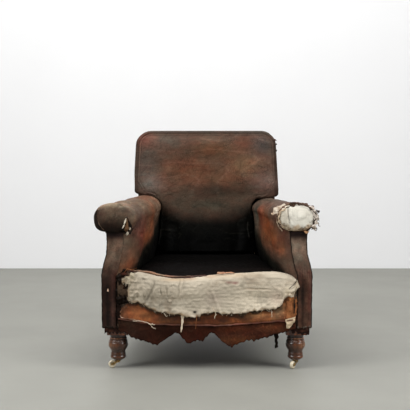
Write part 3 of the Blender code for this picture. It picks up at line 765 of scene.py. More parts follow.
STEEL = old_metal("rusty_steel", (0.22, 0.19, 0.17), (0.12, 0.055, 0.025), (0.45, 0.8), 0.8)
PORCELAIN = crazed_porcelain("crazed_porcelain")
JUTE = woven_strap("jute_webbing", 150.0)
HESSIAN = woven_strap("hessian", 105.0)


# ---------------------------------------------------------------- back


BACK_PANEL_HALF = [(0.585, 0.215), (0.6, 0.232), (0.612, 0.25), (0.628, 0.272), (0.66, 0.29),
                   (0.7, 0.33)]  # (z, x) of the welt over the arms


BACK_MARKS = [
    ((-0.275, 0.85), (0.045, 0.035), (0.112, 0.031, 0.019), 0.85),
    ((-0.17, 0.835), (0.07, 0.03), (0.062, 0.041, 0.029), 0.75),
    ((-0.12, 0.77), (0.07, 0.04), (0.066, 0.036, 0.022), 0.7),
    ((-0.26, 0.74), (0.06, 0.07), (0.07, 0.05, 0.038), 0.85),
    # a painted sheen: the light grey mark just below
    ((-0.24, 0.66), (0.05, 0.045), (0.112, 0.086, 0.068), 0.85),
    ((0.03, 0.8), (0.1, 0.035), (0.104, 0.043, 0.019), 0.8),
    ((0.165, 0.84), (0.035, 0.03), (0.105, 0.034, 0.018), 0.8),
    ((0.16, 0.73), (0.07, 0.05), (0.165, 0.075, 0.036), 0.8),
    ((-0.08, 0.71), (0.13, 0.06), (0.125, 0.044, 0.021), 0.85),
    ((0.06, 0.67), (0.11, 0.05), (0.098, 0.039, 0.019), 0.8),
    ((0.245, 0.82), (0.045, 0.045), (0.054, 0.039, 0.032), 0.9),
    ((0.23, 0.885), (0.1, 0.02), (0.052, 0.036, 0.026), 0.7),
    ((0.26, 0.66), (0.06, 0.05), (0.15, 0.086, 0.064), 0.85),
    ((0.04, 0.622), (0.15, 0.034), (0.027, 0.015, 0.009), 0.85),
    ((0.0, 0.565), (0.25, 0.04), (0.039, 0.029, 0.018), 0.8),
    ((0.0, 0.88), (0.4, 0.014), (0.038, 0.027, 0.018), 0.7),
]


def arm_inside(z):
    """Inner surface of an arm at a height, from the arm's centre line."""
    rise = np.clip((z - ARM_ROLL_Z) / ARM_ROLL[1], 0, 1)
    roll = -ARM_ROLL[0] * np.sqrt(1 - rise ** 2)
    low = table(z, [(0.292, -0.032), (0.31, -0.038), (0.34, -0.0475), (0.38, -0.0575),
                    (0.42, -0.0635), (0.45, -0.066), (0.48, -0.0655), (0.51, -0.0665),
                    (0.53, -0.0705), (0.553, -0.0745)])
    return np.where(z > ARM_ROLL_Z, roll, low)


def back_outline_half(z, y=0.26):
    """Half the width of the back: it fits over the rolled arms and widens to ears above them."""
    rise = (z - 0.6125) / (BACK_TOP - 0.6125)
    straight = mix(0.313, 0.3, np.clip(rise, 0, 1))
    above = np.clip(z - (BACK_TOP - BACK_CORNER), 0, BACK_CORNER)
    upper = straight - BACK_CORNER + np.sqrt(BACK_CORNER ** 2 - above ** 2)
    neck = arm_x(y) + arm_inside(z) - NECK_CLEAR
    droop = np.clip(1 - (z - EAR_BOTTOM) / EAR_ROUND, 0, 1)
    start = arm_x(y) - NECK_CLEAR
    ear = start + (upper - start) * np.sqrt(1 - droop ** 2)
    return np.where(z < EAR_BOTTOM, neck, ear)


def back_plane(x, z):
    """Front of the back pad before its seams and folds, deepest low down in the middle."""
    rise = (z - BACK_BOTTOM) / (BACK_TOP - BACK_BOTTOM)
    half = mix(0.235, 0.31, ramp(z, 0.5, 0.16))
    share = np.clip(x / half / 2 + 0.5, 0, 1)
    swell = 0.032 * np.sin(math.pi * share) * (1 - 0.6 * rise)
    over = 0.03 * np.clip((z - BACK_TOP + BACK_CORNER) / BACK_CORNER, 0, 1) ** 2
    return mix(0.226, 0.334, rise) - swell + over - 0.0023


def back_depths(x, z):
    """Distance of each point of the back from its outline and from the welt."""
    rows = np.concatenate([np.arange(BACK_BOTTOM, EAR_BOTTOM - 0.004, 0.002),
                           np.linspace(EAR_BOTTOM - 0.004, EAR_BOTTOM + EAR_ROUND, 70),
                           np.arange(EAR_BOTTOM + EAR_ROUND, BACK_TOP - BACK_CORNER, 0.002),
                           BACK_TOP - BACK_CORNER * (1 - np.sin(np.linspace(0, math.pi / 2, 50)))])
    away = np.where(np.abs(x) < 0.24, BACK_TOP - z, 1.0)
    for a, b in zip(back_outline_half(rows), rows, strict=True):
        away = np.minimum(away, np.hypot(np.abs(x) - a, z - b))
    inset = 0.0135 * ramp(z, 0.58, 0.03)
    inner = np.where(z > 0.585, table(z, BACK_PANEL_HALF), 1.0) - np.abs(x)
    return away, np.minimum(away - inset, inner)


def back_rows():
    """Heights of the back's rows of points, closest together round the ears and corners."""
    neck = np.linspace(BACK_BOTTOM, ARM_ROLL_Z, 38)
    rise = np.sin(np.linspace(0, math.pi / 2, 20)[1:-1])
    ear = EAR_BOTTOM + EAR_ROUND * (1 - np.cos(np.linspace(0.12, math.pi / 2, 9)))
    body = np.linspace(EAR_BOTTOM + EAR_ROUND + 0.0045, BACK_TOP - BACK_CORNER - 0.004, 46)
    corner = BACK_TOP - BACK_CORNER * (1 - np.sin(np.linspace(0, math.pi / 2, 18)))
    return np.concatenate([neck, ARM_ROLL_Z + ARM_ROLL[1] * rise, ear, body, corner])


def back_front():
    """Front face of the back pad as a grid of points, with its welt, folds and tugs."""
    z = back_rows()
    share = np.sin(np.linspace(-math.pi / 2, math.pi / 2, 133)) * 0.35 + np.linspace(-1, 1, 133) * 0.65
    z = np.repeat(z[:, None], len(share), 1)
    x = share[None, :] * back_outline_half(z)
    away, seam = back_depths(x, z)
    y = back_plane(x, z) + 0.0022 + 0.005 * (1 - smooth(seam / 0.04))
    y += (0.0034 * bell(seam, 0.002) - 0.0026 * bell(seam + 0.0042, 0.0026)) * ramp(z, 0.578, 0.02)
    turned = np.clip(1 - away / BACK_EDGE, 0, 1)
    y += BACK_EDGE * (1 - np.sqrt(1 - turned ** 2 * 0.97))
    flat = np.stack([x, z], -1)
    calm = smooth(seam / 0.03)
    y += 0.0026 * ripple(flat, 0.2, 3) * calm
    y += 0.0008 * ripple(flat * (1.0, 0.35), 0.045, 5) * calm
    for lift, at_z, bend in ((0.0016, 0.445, 0.3), (0.0012, 0.418, 0.22), (0.0012, 0.49, 0.16)):
        arc_line = z - at_z - bend * np.maximum(np.abs(x) - 0.1, 0.0) ** 1.3
        y -= lift * bell(arc_line, 0.0045) * ramp(np.abs(x), 0.1, 0.05) * calm
    folds = np.stack([x + 0.25 * np.abs(z - 0.42) ** 1.2, z * 0.25], -1)
    y += 0.0036 * ripple(folds, 0.05, 9) * fall(z, 0.57, 0.1) * ramp(np.abs(x), 0.04, 0.1)
    tug = z - 0.831 + 0.3 * (x + 0.274) - 1.6 * (x + 0.22) ** 2
    where = ramp(x, -0.285, 0.02) * fall(x, -0.17, 0.03)
    y -= (0.0012 * bell(tug, 0.0032) - 0.001 * bell(tug + 0.007, 0.0035)) * where
    front = np.stack([x, y, z], -1)
    front[..., 0] -= 0.0055 * ramp(z, 0.62, 0.1) * np.clip(-x / 0.3, 0, 1) ** 4
    front[..., 2] -= RIGHT_SAG * ramp(x, 0.212, 0.03) * bell(z - 0.606, 0.028)
    return front


def back_walls(rim):
    """Rings from the front's rim back to the stiles: the sides and top of the back pad."""
    walls = []
    for share in (0.0, 0.04, 0.12, 0.3, 0.5, 0.7, 0.88, 1.0):
        ring = rim.copy()
        ring[:, 1] = mix(rim[:, 1], stile_y(ring[:, 2]) + 0.015, share)
        over_arm = smooth((ring[:, 2] - EAR_BOTTOM) / 0.02)
        narrow = (arm_x(ring[:, 1]) - arm_x(0.26)) * np.sign(ring[:, 0]) * (1 - over_arm)
        ring[:, 0] += np.clip(np.abs(narrow), 0, 0.02) * np.sign(narrow)
        ring[:, 0] *= 1 + 0.01 * math.sin(math.pi * share ** 0.7) * over_arm
        ring[:, 2] += 0.0016 * math.sin(math.pi * share) * (rim[:, 2] > BACK_TOP - 0.01)
        ring[:, 0] += 0.004 * ramp(share, 0.1, 0.4) * (ring[:, 0] < -0.2) * ramp(ring[:, 2], 0.62, 0.1)
        walls.append(ring)
    return np.array(walls)


def make_back():
    """The inside back: a crowned pad with a welt, its sides running back to the stiles."""
    front = back_front()
    rows, columns = front.shape[:2]
    loop = [(i, 0) for i in range(rows)] + [(rows - 1, j) for j in range(1, columns)]
    loop += [(i, columns - 1) for i in range(rows - 2, -1, -1)]
    walls = back_walls(np.array([front[i, j] for i, j in loop]))
    faces = grid_faces(rows, columns)
    faces += grid_faces(len(walls), len(loop), first=rows * columns, flip=True)
    points = np.concatenate([front.reshape(-1, 3), walls.reshape(-1, 3)])
    back = mesh_piece("inside_back_pad", points, faces)
    weld(back)
    colour_back(back)
    x, y, z = points_of(back).T
    seam = back_depths(x, z)[1]
    free = ramp(seam, 0.006, 0.02) * ramp(z - BACK_BOTTOM, 0.02, 0.03) * (y < back_plane(x, z) + 0.012)
    swell(back, 1 - free, 0.004)
    thicken(back, LEATHER)
    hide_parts("inside_back_leather", "back_stuffing")
    dress(back, BACK_HIDE)


def make_back_nubs():
    """Torn ends of the welt standing out of the back's right edge."""
    nubs = ((0.844, 0.006, 0.006, (0.06, 0.016, 0.012)), (0.825, 0.004, 0.007, (0.034, 0.014, 0.01)),
            (0.796, 0.0032, 0.01, (0.03, 0.013, 0.01)))
    for number, (at, reach, high, tint) in enumerate(nubs):
        edge = float(back_outline_half(np.array(at)))
        nub = tuft(f"torn_welt_{number}", (edge - 0.001 + reach / 2, 0.326, at), (reach, 0.0045, high / 2),
                   0.6, HIDE, seed=371 + number, sides=14)
        paint_marks(nub, tint)


def colour_back(back):
    """Worn, stained and dirty leather colours for the inside back, with painted sheen and glints, and painted
    shade low down.
    """
    points = points_of(back)
    x, y, z = points.T
    colour = spots(points, (0.078, 0.039, 0.024), BACK_MARKS) * (0.97, 1.1, 1.2)
    flat = points[:, ::2]
    # painted sheen along meandering creases in the upper part
    sheen = crease(flat * (0.35, 1.0), 0.06, 301, 0.2) * ramp(z, 0.57, 0.1)
    colour = mix(colour, colour * 1.45 + 0.012, (0.45 * sheen)[:, None])
    streak = crease(flat * (0.5, 1.0), 0.034, 303, 0.12)
    rim = ramp(np.abs(x), 0.29, 0.01) * ramp(z, 0.6, 0.01)
    seam = back_depths(x, z)[1]
    stitched = (y < back_plane(x, z) + 0.008) * ramp(z, 0.57, 0.02)
    tone = (1 - 0.3 * streak) * (1 - 0.35 * rim) * (1 + 0.55 * bell(seam, 0.0026) * stitched)
    tone *= 1 - 0.5 * bell(seam + 0.005, 0.0028) * stitched
    tone *= 1 - 0.35 * bell(seam - 0.005, 0.0024) * stitched
    colour = colour * tone[:, None]
    # darker towards the foot in two steps, to near black: blackened leather, and painted shade in the well
    # between the arms and the seat
    line = 0.562 + 1.1 * x ** 2 + 0.006 * ripple(flat, 0.11, 305)
    colour = blend_in(colour, (0.0022, 0.0021, 0.0015), smooth((line - z) / 0.095))
    colour = blend_in(colour, (0.0004, 0.0004, 0.0003), fall(z, 0.478, 0.06))
    # painted glints on the creases low down, stronger towards the sides
    worn = crease(flat * (0.3, 1.0), 0.042, 309, 0.07) * fall(z, 0.535, 0.03) * ramp(z, 0.4, 0.03)
    worn *= 0.25 + 0.75 * ramp(np.abs(x), 0.02, 0.1)
    colour = blend_in(colour, (0.018, 0.018, 0.014), 0.45 * worn)
    # two painted glints along faint upright wrinkles low down
    for at_x, high, foot, wave in ((-0.2024, 0.461, 0.39, 60), (0.18, 0.496, 0.417, 50)):
        line = bell(x - at_x - 0.004 * np.sin(z * wave), 0.0022) * fall(z, high, 0.01)
        colour = blend_in(colour, (0.036, 0.034, 0.03), 0.7 * line * ramp(z, foot, 0.01))
    paint(back, colour)


# ---------------------------------------------------------------- arms


# (y, z): the top of the painted shade on the inside of an arm, rising towards the back
ARM_SHADE_TOP = [(-0.43, 0.366), (-0.35, 0.385), (-0.25, 0.415), (-0.1, 0.435), (0.05, 0.46), (0.2, 0.505),
                 (0.3, 0.56)]
LEFT_ARM_LOOK = ((0.12, 0.074, 0.047), [
    ((0.0, -0.38, 0.6), (0.08, 0.1, 0.03), (0.255, 0.166, 0.098), 0.85),
    ((-0.02, 0.18, 0.6), (0.05, 0.12, 0.03), (0.19, 0.078, 0.045), 0.8),
    ((-0.05, -0.1, 0.57), (0.04, 0.26, 0.03), (0.12, 0.086, 0.056), 0.8),
    ((-0.05, -0.32, 0.53), (0.05, 0.1, 0.05), (0.088, 0.042, 0.036), 0.85),
    ((-0.045, -0.4, 0.574), (0.03, 0.1, 0.02), (0.064, 0.044, 0.034), 0.85),
    ((-0.066, -0.2, 0.47), (0.03, 0.11, 0.07), (0.13, 0.029, 0.02), 0.9),
    ((-0.066, -0.09, 0.452), (0.03, 0.1, 0.03), (0.2, 0.066, 0.026), 0.9),
    ((-0.066, 0.02, 0.5), (0.03, 0.11, 0.08), (0.225, 0.07, 0.03), 0.95),
    ((-0.072, 0.17, 0.52), (0.03, 0.05, 0.06), (0.12, 0.078, 0.052), 0.8),
    ((-0.05, -0.34, 0.42), (0.04, 0.08, 0.03), (0.14, 0.064, 0.038), 0.8),
    ((-0.05, -0.38, 0.375), (0.05, 0.1, 0.028), (0.24, 0.08, 0.036), 0.95),
    ((-0.03, -0.42, 0.45), (0.02, 0.03, 0.05), (0.105, 0.074, 0.053), 0.8),
])
RIGHT_ARM_LOOK = ((0.09, 0.056, 0.04), [
    ((0.0, -0.3, 0.6), (0.08, 0.2, 0.03), (0.1, 0.048, 0.034), 0.7),
    ((-0.066, -0.05, 0.475), (0.03, 0.22, 0.075), (0.125, 0.046, 0.019), 0.9),
    ((0.0, 0.2, 0.61), (0.07, 0.12, 0.03), (0.085, 0.066, 0.046), 0.8),
    ((-0.072, 0.19, 0.53), (0.03, 0.05, 0.08), (0.05, 0.05, 0.038), 0.85),
    ((-0.066, 0.02, 0.53), (0.03, 0.09, 0.04), (0.185, 0.048, 0.022), 0.9),
    ((-0.066, -0.12, 0.5), (0.03, 0.09, 0.05), (0.208, 0.06, 0.02), 0.95),
    ((-0.06, -0.27, 0.47), (0.03, 0.1, 0.05), (0.196, 0.056, 0.018), 0.95),
    ((-0.05, -0.38, 0.5), (0.03, 0.04, 0.04), (0.115, 0.048, 0.032), 0.8),
    ((-0.05, -0.38, 0.44), (0.04, 0.05, 0.03), (0.2, 0.07, 0.032), 0.85),
    ((-0.05, -0.38, 0.385), (0.04, 0.07, 0.02), (0.1, 0.058, 0.038), 0.7),
    ((-0.035, -0.42, 0.45), (0.012, 0.02, 0.06), (0.12, 0.058, 0.04), 0.8),
])


LEFT_FACING_LOOK = ((0.034, 0.015, 0.0102), (0.168, 0.107, 0.075), [
    ((-0.005, 0.34), (0.012, 0.03), (0.065, 0.018, 0.012), 0.7),
    ((0.03, 0.22), (0.012, 0.08), (0.015, 0.008, 0.006), 0.7)])
RIGHT_FACING_LOOK = ((0.085, 0.04, 0.0258), (0.195, 0.136, 0.099), [
    ((0.041, 0.27), (0.006, 0.09), (0.105, 0.038, 0.027), 0.85),
    ((0.005, 0.35), (0.01, 0.03), (0.075, 0.036, 0.025), 0.7),
    ((0.018, 0.27), (0.01, 0.06), (0.022, 0.011, 0.008), 0.7)])


def facing_inner(z):
    """Inner edge of the front facing, measured from the arm's centre line."""
    return table(z, [(0.153, -0.002), (0.345, -0.002), (0.375, -0.0115), (0.425, -0.0225),
                     (0.47, -0.0275), (0.51, -0.03)])


def facing_outer(z):
    """Outer edge of the front facing, measured from the arm's centre line."""
    return table(z, [(0.153, 0.0492), (0.35, 0.0505), (0.385, 0.0435), (0.425, 0.0325),
                     (0.47, 0.03), (0.51, 0.0325)])


def arm_section():
    """The arm's profile in (u, z): from under the roll, over the top and down the inside."""
    roll = arc((0, ARM_ROLL_Z), ARM_ROLL, -58, 200, 60)
    inside = [(-0.0665, 0.51), (-0.0655, 0.48), (-0.066, 0.45), (-0.0635, 0.42),
              (-0.0575, 0.38), (-0.0475, 0.34), (-0.038, 0.31), (-0.032, 0.292)]
    return resample(np.concatenate([[(0.0365, 0.499)], roll, inside]), 118)


def inside_growth(y):
    """How much of its inner swell an arm has at a depth: none at the front, all behind ARM_FULL_Y."""
    before = np.maximum(0.0, (ARM_FULL_Y - y) / (ARM_FULL_Y - PAD_BACK))
    return np.sqrt(np.maximum(0.0, 1 - before ** 2))


def inside_swell(z, full, y):
    """The inner side of an arm at height z, full when the swell is complete, from its centre line."""
    return facing_inner(z) - 0.0004 + (full - facing_inner(z) + 0.0004) * inside_growth(y)


def arm_points(side):
    """Grid of an arm's cover, one row for each station from front to back, and the arm's section."""
    section = arm_section()
    near = PAD_BACK + 0.09 * (1 - np.cos(np.linspace(0, math.pi / 2, 18)))
    far = np.linspace(near[-1] + 0.008, ARM_END_Y - ARM_TUCK, 92)
    end = ARM_END_Y - ARM_TUCK * (1 - np.sin(np.linspace(0, math.pi / 2, 5)[1:]))
    y = np.concatenate([near, far, end])[:, None]
    u, z = section[None, :, 0], section[None, :, 1]
    low = fall(z, 0.545, 0.05) * (u < 0)
    u = u + (facing_inner(z) - 0.0004 - u) * low * (1 - inside_growth(y))
    if side > 0:
        u = np.where(u > 0, u * (1 - TORN_IN * fall(y, -0.33, 0.09) * ramp(z, 0.5, 0.03)), u)
    tuck = np.maximum(0.0, (y - ARM_END_Y + ARM_TUCK) / ARM_TUCK) ** 3
    height = ARM_ROLL_Z + (z - ARM_ROLL_Z) * (1 - 0.06 * tuck * (z > 0.5))
    if side > 0:
        height = height - RIGHT_SAG * ramp(y, -0.3, 0.4) * ramp(z, 0.51, 0.08)
    return lattice(side * (arm_x(y) + u * (1 - 0.1 * tuck)), y, height), section


def shape_arm(grid, section, side):
    """Sags and creases of the old arm cover."""
    y = grid[..., 1]
    flat = np.stack([y, np.broadcast_to(np.arange(len(section)) * 0.0042, y.shape)], -1)
    run = np.gradient(section, axis=0)
    run /= np.linalg.norm(run, axis=1)[:, None]
    normal = lattice(side * run[None, :, 1], y * 0, -run[None, :, 0])
    hold = smooth((y - FRAME_FRONT) / 0.05) * fall(y, 0.26, 0.08)
    lumps = 0.0026 * ripple(flat, 0.16, 21 + side) + 0.001 * ripple(flat * (1.0, 0.5), 0.05, 31 + side)
    lumps -= 0.0022 * crease(flat * (0.7, 1.0), 0.1, 25 + side, 0.1)
    return grid + normal * (lumps * hold - 0.0012)[..., None]


def face_outwards(arm, side):
    """Turns the faces of an arm cover away from the arm's middle."""
    middle = arm.data.polygons[len(arm.data.polygons) // 2]
    centre = Vector((side * arm_x(middle.center.y), middle.center.y, ARM_ROLL_Z))
    if (middle.center - centre).dot(middle.normal) < 0:
        arm.data.flip_normals()


def make_arm(name, side):
    """The leather over an arm's roll and inside, and the plain piece that closes its rear end."""
    grid = shape_arm(*arm_points(side), side)
    arm = sheet_piece(f"arm_cover_{name}", grid, flip=side < 0)
    face_outwards(arm, side)
    paint(arm, arm_colours(points_of(arm), side))
    thicken(arm, LEATHER)
    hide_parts(f"arm_leather_{name}", f"arm_stuffing_{name}")
    dress(arm, ARM_HIDE)
    end = mesh_piece(f"arm_end_{name}", grid[-1], [tuple(range(grid.shape[1]))])
    paint_marks(end, (0.085, 0.052, 0.038))
    dress(thicken(end, LEATHER), HIDE)
    return arm


def arm_colours(points, side):
    """Colours of an arm, with painted shade low on its inside near the seat. u is measured outwards from its
    centre line.
    """
    x, y, z = points.T
    u = side * x - arm_x(y)
    local = np.stack([u, y, z], 1)
    left = side < 0
    colour = spots(local, *(LEFT_ARM_LOOK if left else RIGHT_ARM_LOOK))
    # painted shade: the inside of the arm goes near black below that line, and darker still lower down
    shade_top = table(y, ARM_SHADE_TOP) + (0.017 if left else -0.01) * ramp(y, -0.3, 0.12)
    painted_shade = smooth((shade_top - z) / 0.055) * ramp(y, -0.405, 0.05) * (u < 0)
    colour = blend_in(colour, (0.007, 0.006, 0.0036) if left else (0.0095, 0.0085, 0.0055), painted_shade)
    deeper_shade = smooth((shade_top - 0.055 - z) / 0.05) * (painted_shade > 0)
    colour = blend_in(colour, (0.0016, 0.0014, 0.001), deeper_shade)
    streaks = ripple(np.stack([y * 0.3, z * 0.9], 1), 0.03, 321 + side)
    colour = colour * (1 + 0.1 * np.clip(streaks, -1.6, 1.6) * (u < -0.03))[:, None]
    colour = colour * (1 - 0.35 * ramp(u, 0.03, 0.03))[:, None]
    if left:
        where = bell(y - 0.17, 0.1) * bell(u + 0.055, 0.022)
        lines = crease(local * (1.0, 0.45, 1.0), 0.022, 261, 0.13) * smooth(where * 2) * (z > 0.52)
        colour = blend_in(colour, (0.34, 0.25, 0.17), 0.6 * lines)
    return colour


def make_outside_arm(name, side):
    """The flat leather panel on the outside of an arm, nailed along its front and foot."""
    section = resample([(0.03, 0.498), (0.0282, 0.47), (0.0302, 0.425), (0.0412, 0.385), (0.0468, 0.35),
                        (0.0468, 0.1545)], 60)
    y = np.linspace(FRAME_FRONT - 0.0012, stile_y(0.3) + 0.0145, 90)[:, None]
    grid = lattice(arm_x(y) + section[:, 0] + 0.0004, y, section[:, 1])
    flat = grid[..., 1:]
    hold = ramp(y, -0.388, 0.06) * fall(y, 0.352, 0.06) * ramp(grid[..., 2], 0.157, 0.03)
    lumps = 0.0016 * ripple(flat, 0.14, 41 + side) + 0.0006 * ripple(flat * (1.0, 0.4), 0.05, 43 + side)
    grid[..., 0] -= hold * (0.004 + lumps) * (ramp(grid[..., 2], 0.2, 0.1) * 0.6 + 0.4)
    grid[..., 0] = np.maximum(grid[..., 0], arm_x(grid[..., 1]) + 0.0302 - 0.0015)
    grid[..., 0] *= side
    panel = sheet_piece(f"outside_arm_{name}", grid)
    face_towards(panel, (side, 0, 0))
    paint_marks(panel, (0.06, 0.033, 0.023), [
        ((0, -0.3, 0.2), (ANY_DEPTH, 0.15, 0.06), (0.04, 0.018, 0.012), 0.8),
        ((0, 0.05, 0.33), (ANY_DEPTH, 0.18, 0.1), (0.095, 0.054, 0.036), 0.8),
        ((0, 0.3, 0.22), (ANY_DEPTH, 0.1, 0.09), (0.045, 0.026, 0.019), 0.8),
        ((0, -0.2, 0.42), (ANY_DEPTH, 0.15, 0.05), (0.09, 0.06, 0.042), 0.7)])
    thicken(panel, LEATHER)
    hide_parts(f"outside_arm_leather_{name}")
    dress(panel, HIDE)
    places = [(at, 0.163) for at in np.arange(-0.405, 0.395, ARM_NAIL_STEP)]
    places += [(-0.4215, at) for at in np.arange(0.19, 0.36, ARM_NAIL_STEP)]
    row = [((side * (arm_x(at) + 0.0476), at, z), (side, 0, 0)) for at, z in places]
    nails(f"outside_arm_nails_{name}", row, NAIL_METAL)


def make_stile_cover(name, side):
    """The leather wrapped round the back stile, between the outside arm and the outside back."""
    z = np.linspace(0.345, 0.606, 60)
    wrap = [(0.286, -0.0168), (0.3008, -0.0168), (0.3038, -0.014), (0.3046, 0), (0.3042, 0.0152)]
    path = resample(wrap, 24)
    grid = lattice(path[:, 0], stile_y(z)[:, None] + path[:, 1], z[:, None])
    grid[..., 0] += 0.0005 * ripple(grid[..., 1:], 0.03, 385 + side)
    grid[..., 0] *= side
    cover = sheet_piece(f"stile_cover_{name}", grid)
    face_towards(cover, (side, 0, 0))
    paint_marks(cover, (0.058, 0.032, 0.023), [
        ((0, 0.56), (ANY_DEPTH, 0.03), (0.09, 0.046, 0.03), 0.281),
        ((0, 0.4), (ANY_DEPTH, 0.04), (0.042, 0.022, 0.016), 0.281)])
    thicken(cover, 0.0012)
    dress(cover, HIDE)


def facing_colours(points, side):
    """Colours of a front facing: dark at the foot, lighter at the neck, with a painted shadow under the
    scroll, lighter rubbed edges with a painted highlight, and painted highlights on a fan of pleats.
    """
    x, y, z = points.T
    u = side * x - ARM_FRONT_X
    right = side > 0
    low_tone, neck, marks = RIGHT_FACING_LOOK if right else LEFT_FACING_LOOK
    colour = mix(np.array(low_tone), np.array(neck), ramp(z, 0.33, 0.1)[:, None])
    marks = [((0.02, 0.36), (0.03, 0.03), (0.05, 0.028, 0.02), 0.7), *marks]
    colour = spots(np.stack([u, y, z], 1), colour, marks)
    # painted shadow under the scroll: near black at the top of the facing
    colour = blend_in(colour, (0.014, 0.007, 0.006), ramp(z, 0.462, 0.032))
    shade = ripple(np.stack([u * 1.2, z * 0.7], 1), 0.026, 331 + side)
    strip = bell(u - (0.017 if right else 0.03), 0.0055) * fall(z, 0.335, 0.03)
    colour = colour * ((1 + 0.14 * np.clip(shade, -1.5, 1.5)) * (1 - 0.55 * strip))[:, None]
    # a lighter line along one edge: rubbed leather with a painted highlight
    worn = bell(u - (0.0475 if right else 0.012), 0.004) * fall(z, 0.365, 0.02)
    colour = blend_in(colour, (0.125, 0.06, 0.05), (0.6 if right else 0.25) * worn)
    # painted highlights on a fan of small pleats at the right facing's neck
    fan = bell(z - 0.362, 0.022) * np.clip(np.sin(u * 720 + 40 * (z - 0.36)), 0, 1)
    return blend_in(colour, (0.19, 0.085, 0.066), 0.5 * fan * right)


def make_facing(name, side):
    """The leather facing on the front of an arm post, with its turned edges."""
    z = np.concatenate([np.linspace(0.153, 0.34, 34), np.linspace(0.345, 0.506, 36)])[:, None]
    share = np.linspace(0, 1, 17)
    inner, outer = facing_inner(z), facing_outer(z)
    edge = np.minimum(share, 1 - share) * (outer - inner)
    y = FACE + 0.0018 * (1 - smooth(edge / 0.006)) - 0.0008 * bell(edge - 0.005, 0.0022)
    grid = lattice(side * (ARM_FRONT_X + mix(inner, outer, share)), y, z)
    lumps = ripple(grid[..., ::2] * (1.0, 0.25), 0.03, 51 + side)
    grid[..., 1] -= 0.0006 + 0.0008 * lumps * smooth(np.minimum(share, 1 - share) / 0.2)
    facing = sheet_piece(f"front_facing_cover_{name}", grid, flip=side > 0)
    face_towards(facing, (0, -1, 0))
    paint(facing, facing_colours(points_of(facing), side))
    thicken(facing, 0.0018)
    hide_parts(f"front_facing_{name}")
    dress(facing, HIDE)
    return facing


def make_chip():
    """A chip in the left facing with calico showing through."""
    near, far = FACE - 0.0012, FACE - 0.0016
    rag("chip_left", [(-0.3602, near, 0.3), (-0.362, far, 0.29), (-0.3622, near, 0.28)],
        [(-0.3582, near, 0.3), (-0.3566, far, 0.29), (-0.3592, near, 0.28)], CALICO, (0.62, 0.42, 0.3),
        thickness=0.0006, crumple=0.0004, ragged=0.0003, cells=0.001, seed=341)


def trim_facing(name, side):
    """Near-black cords along the edges, which paint the shade there, and nails and the scrap of dark leather
    at the foot of a front facing.
    """
    left = side < 0

    def place(u, y, z):
        return side * (ARM_FRONT_X + u), y, z

    edge_z = np.linspace(0.156, 0.504, 120)
    edges = [(0.0006, facing_outer)] if left else [(0.0006, facing_outer), (-0.0004, facing_inner)]
    cords = []
    for shift, edge_of in edges:
        line = np.stack(np.broadcast_arrays(*place(edge_of(edge_z) + shift, FACE + 0.0004, edge_z)), 1)
        line[:, 0] += 0.0003 * ripple(line, 0.02, 263)
        cords.append((line, 0.0011 + 0.0002 * ripple(line, 0.015, 265)))
    # the cords are near black: painted shade along the facing's edges
    trim(f"facing_cord_{name}", cords, BLACK_THREAD_AND_SHADE)
    metal = BLACK_NAILS if left else NAIL_METAL
    corners = ((-0.0054, 0.156), (0.0346, 0.159)) if left else ((0.002, 0.156), (0.042, 0.159))
    nails(f"facing_nails_{name}", [(place(u, FACE - 0.0006, z), (0, -1, 0)) for u, z in corners], metal)
    foot_u = np.linspace(-0.018 if left else -0.026, 0.041 if left else 0.042, 12)
    foot_z = (0.1345 if left else 0.129) + 0.004 * np.sin(np.arange(12) * 2.3 + side)
    foot_z = foot_z + (0 if left else 0.01) * (1 - np.arange(12) / 11)
    rag(f"block_leather_{name}", [place(u, FACE - 0.0008, 0.156) for u in foot_u],
        [place(u, FACE + 0.0006, z) for u, z in zip(foot_u, foot_z)], DARK_HIDE, (0.015, 0.0065, 0.0045),
        crumple=0.0016, size=0.014, ragged=0.003, seed=351 + side,
        marks=[
            ((side * 0.35, 0.143), (0.008, 0.004), (0.09, 0.036, 0.022), 0.8),
            ((side * 0.365, 0.15), (0.005, 0.006), (0.06, 0.026, 0.018), 0.8)])
    row = ((0.0125, 0.157), (0.02, 0.1562), (0.0285, 0.1572), (0.0455, 0.157))
    nails(f"dull_nails_{name}", [(place(u, FACE - 0.0004, z), (0, -1, 0)) for u, z in row], metal)


# ---------------------------------------------------------------- scrolls and their tears


TORN_EDGES = (  # seed, radius and path of each
    (223, 0.0013, [(0.3402, -0.444, 0.605), (0.3624, -0.444, 0.597), (0.3813, -0.442, 0.5843),
                   (0.3939, -0.439, 0.5686), (0.397, -0.437, 0.5607)]),
    (227, 0.0014, [(0.3844, -0.441, 0.564), (0.392, -0.44, 0.553), (0.388, -0.44, 0.54),
                   (0.3828, -0.44, 0.533)]),
    (229, 0.0018, [(0.396, -0.437, 0.584), (0.404, -0.436, 0.579), (0.3995, -0.436, 0.569)]),
    (231, 0.0011, [(0.4005, -0.436, 0.557), (0.404, -0.436, 0.55), (0.402, -0.436, 0.543)]),
    (235, 0.0017, [(0.402, -0.436, 0.54), (0.405, -0.436, 0.533), (0.404, -0.436, 0.528),
                   (0.408, -0.436, 0.524)]),
    (237, 0.0018, [(0.371, -0.444, 0.52), (0.377, -0.444, 0.524), (0.382, -0.443, 0.518),
                   (0.376, -0.443, 0.513)]),
    (239, 0.0013, [(0.386, -0.443, 0.518), (0.392, -0.443, 0.521), (0.398, -0.443, 0.5165),
                   (0.3945, -0.443, 0.51), (0.387, -0.443, 0.511), (0.3855, -0.443, 0.5165)]),
    (241, 0.0016, [(0.2965, -0.44, 0.6085), (0.305, -0.44, 0.611), (0.315, -0.44, 0.61),
                   (0.338, -0.44, 0.608)]))


def squared(turn, power):
    """How much further out a rounded square reaches than a circle, at each angle."""
    return (np.abs(np.cos(turn)) ** power + np.abs(np.sin(turn)) ** power) ** (-1 / power)


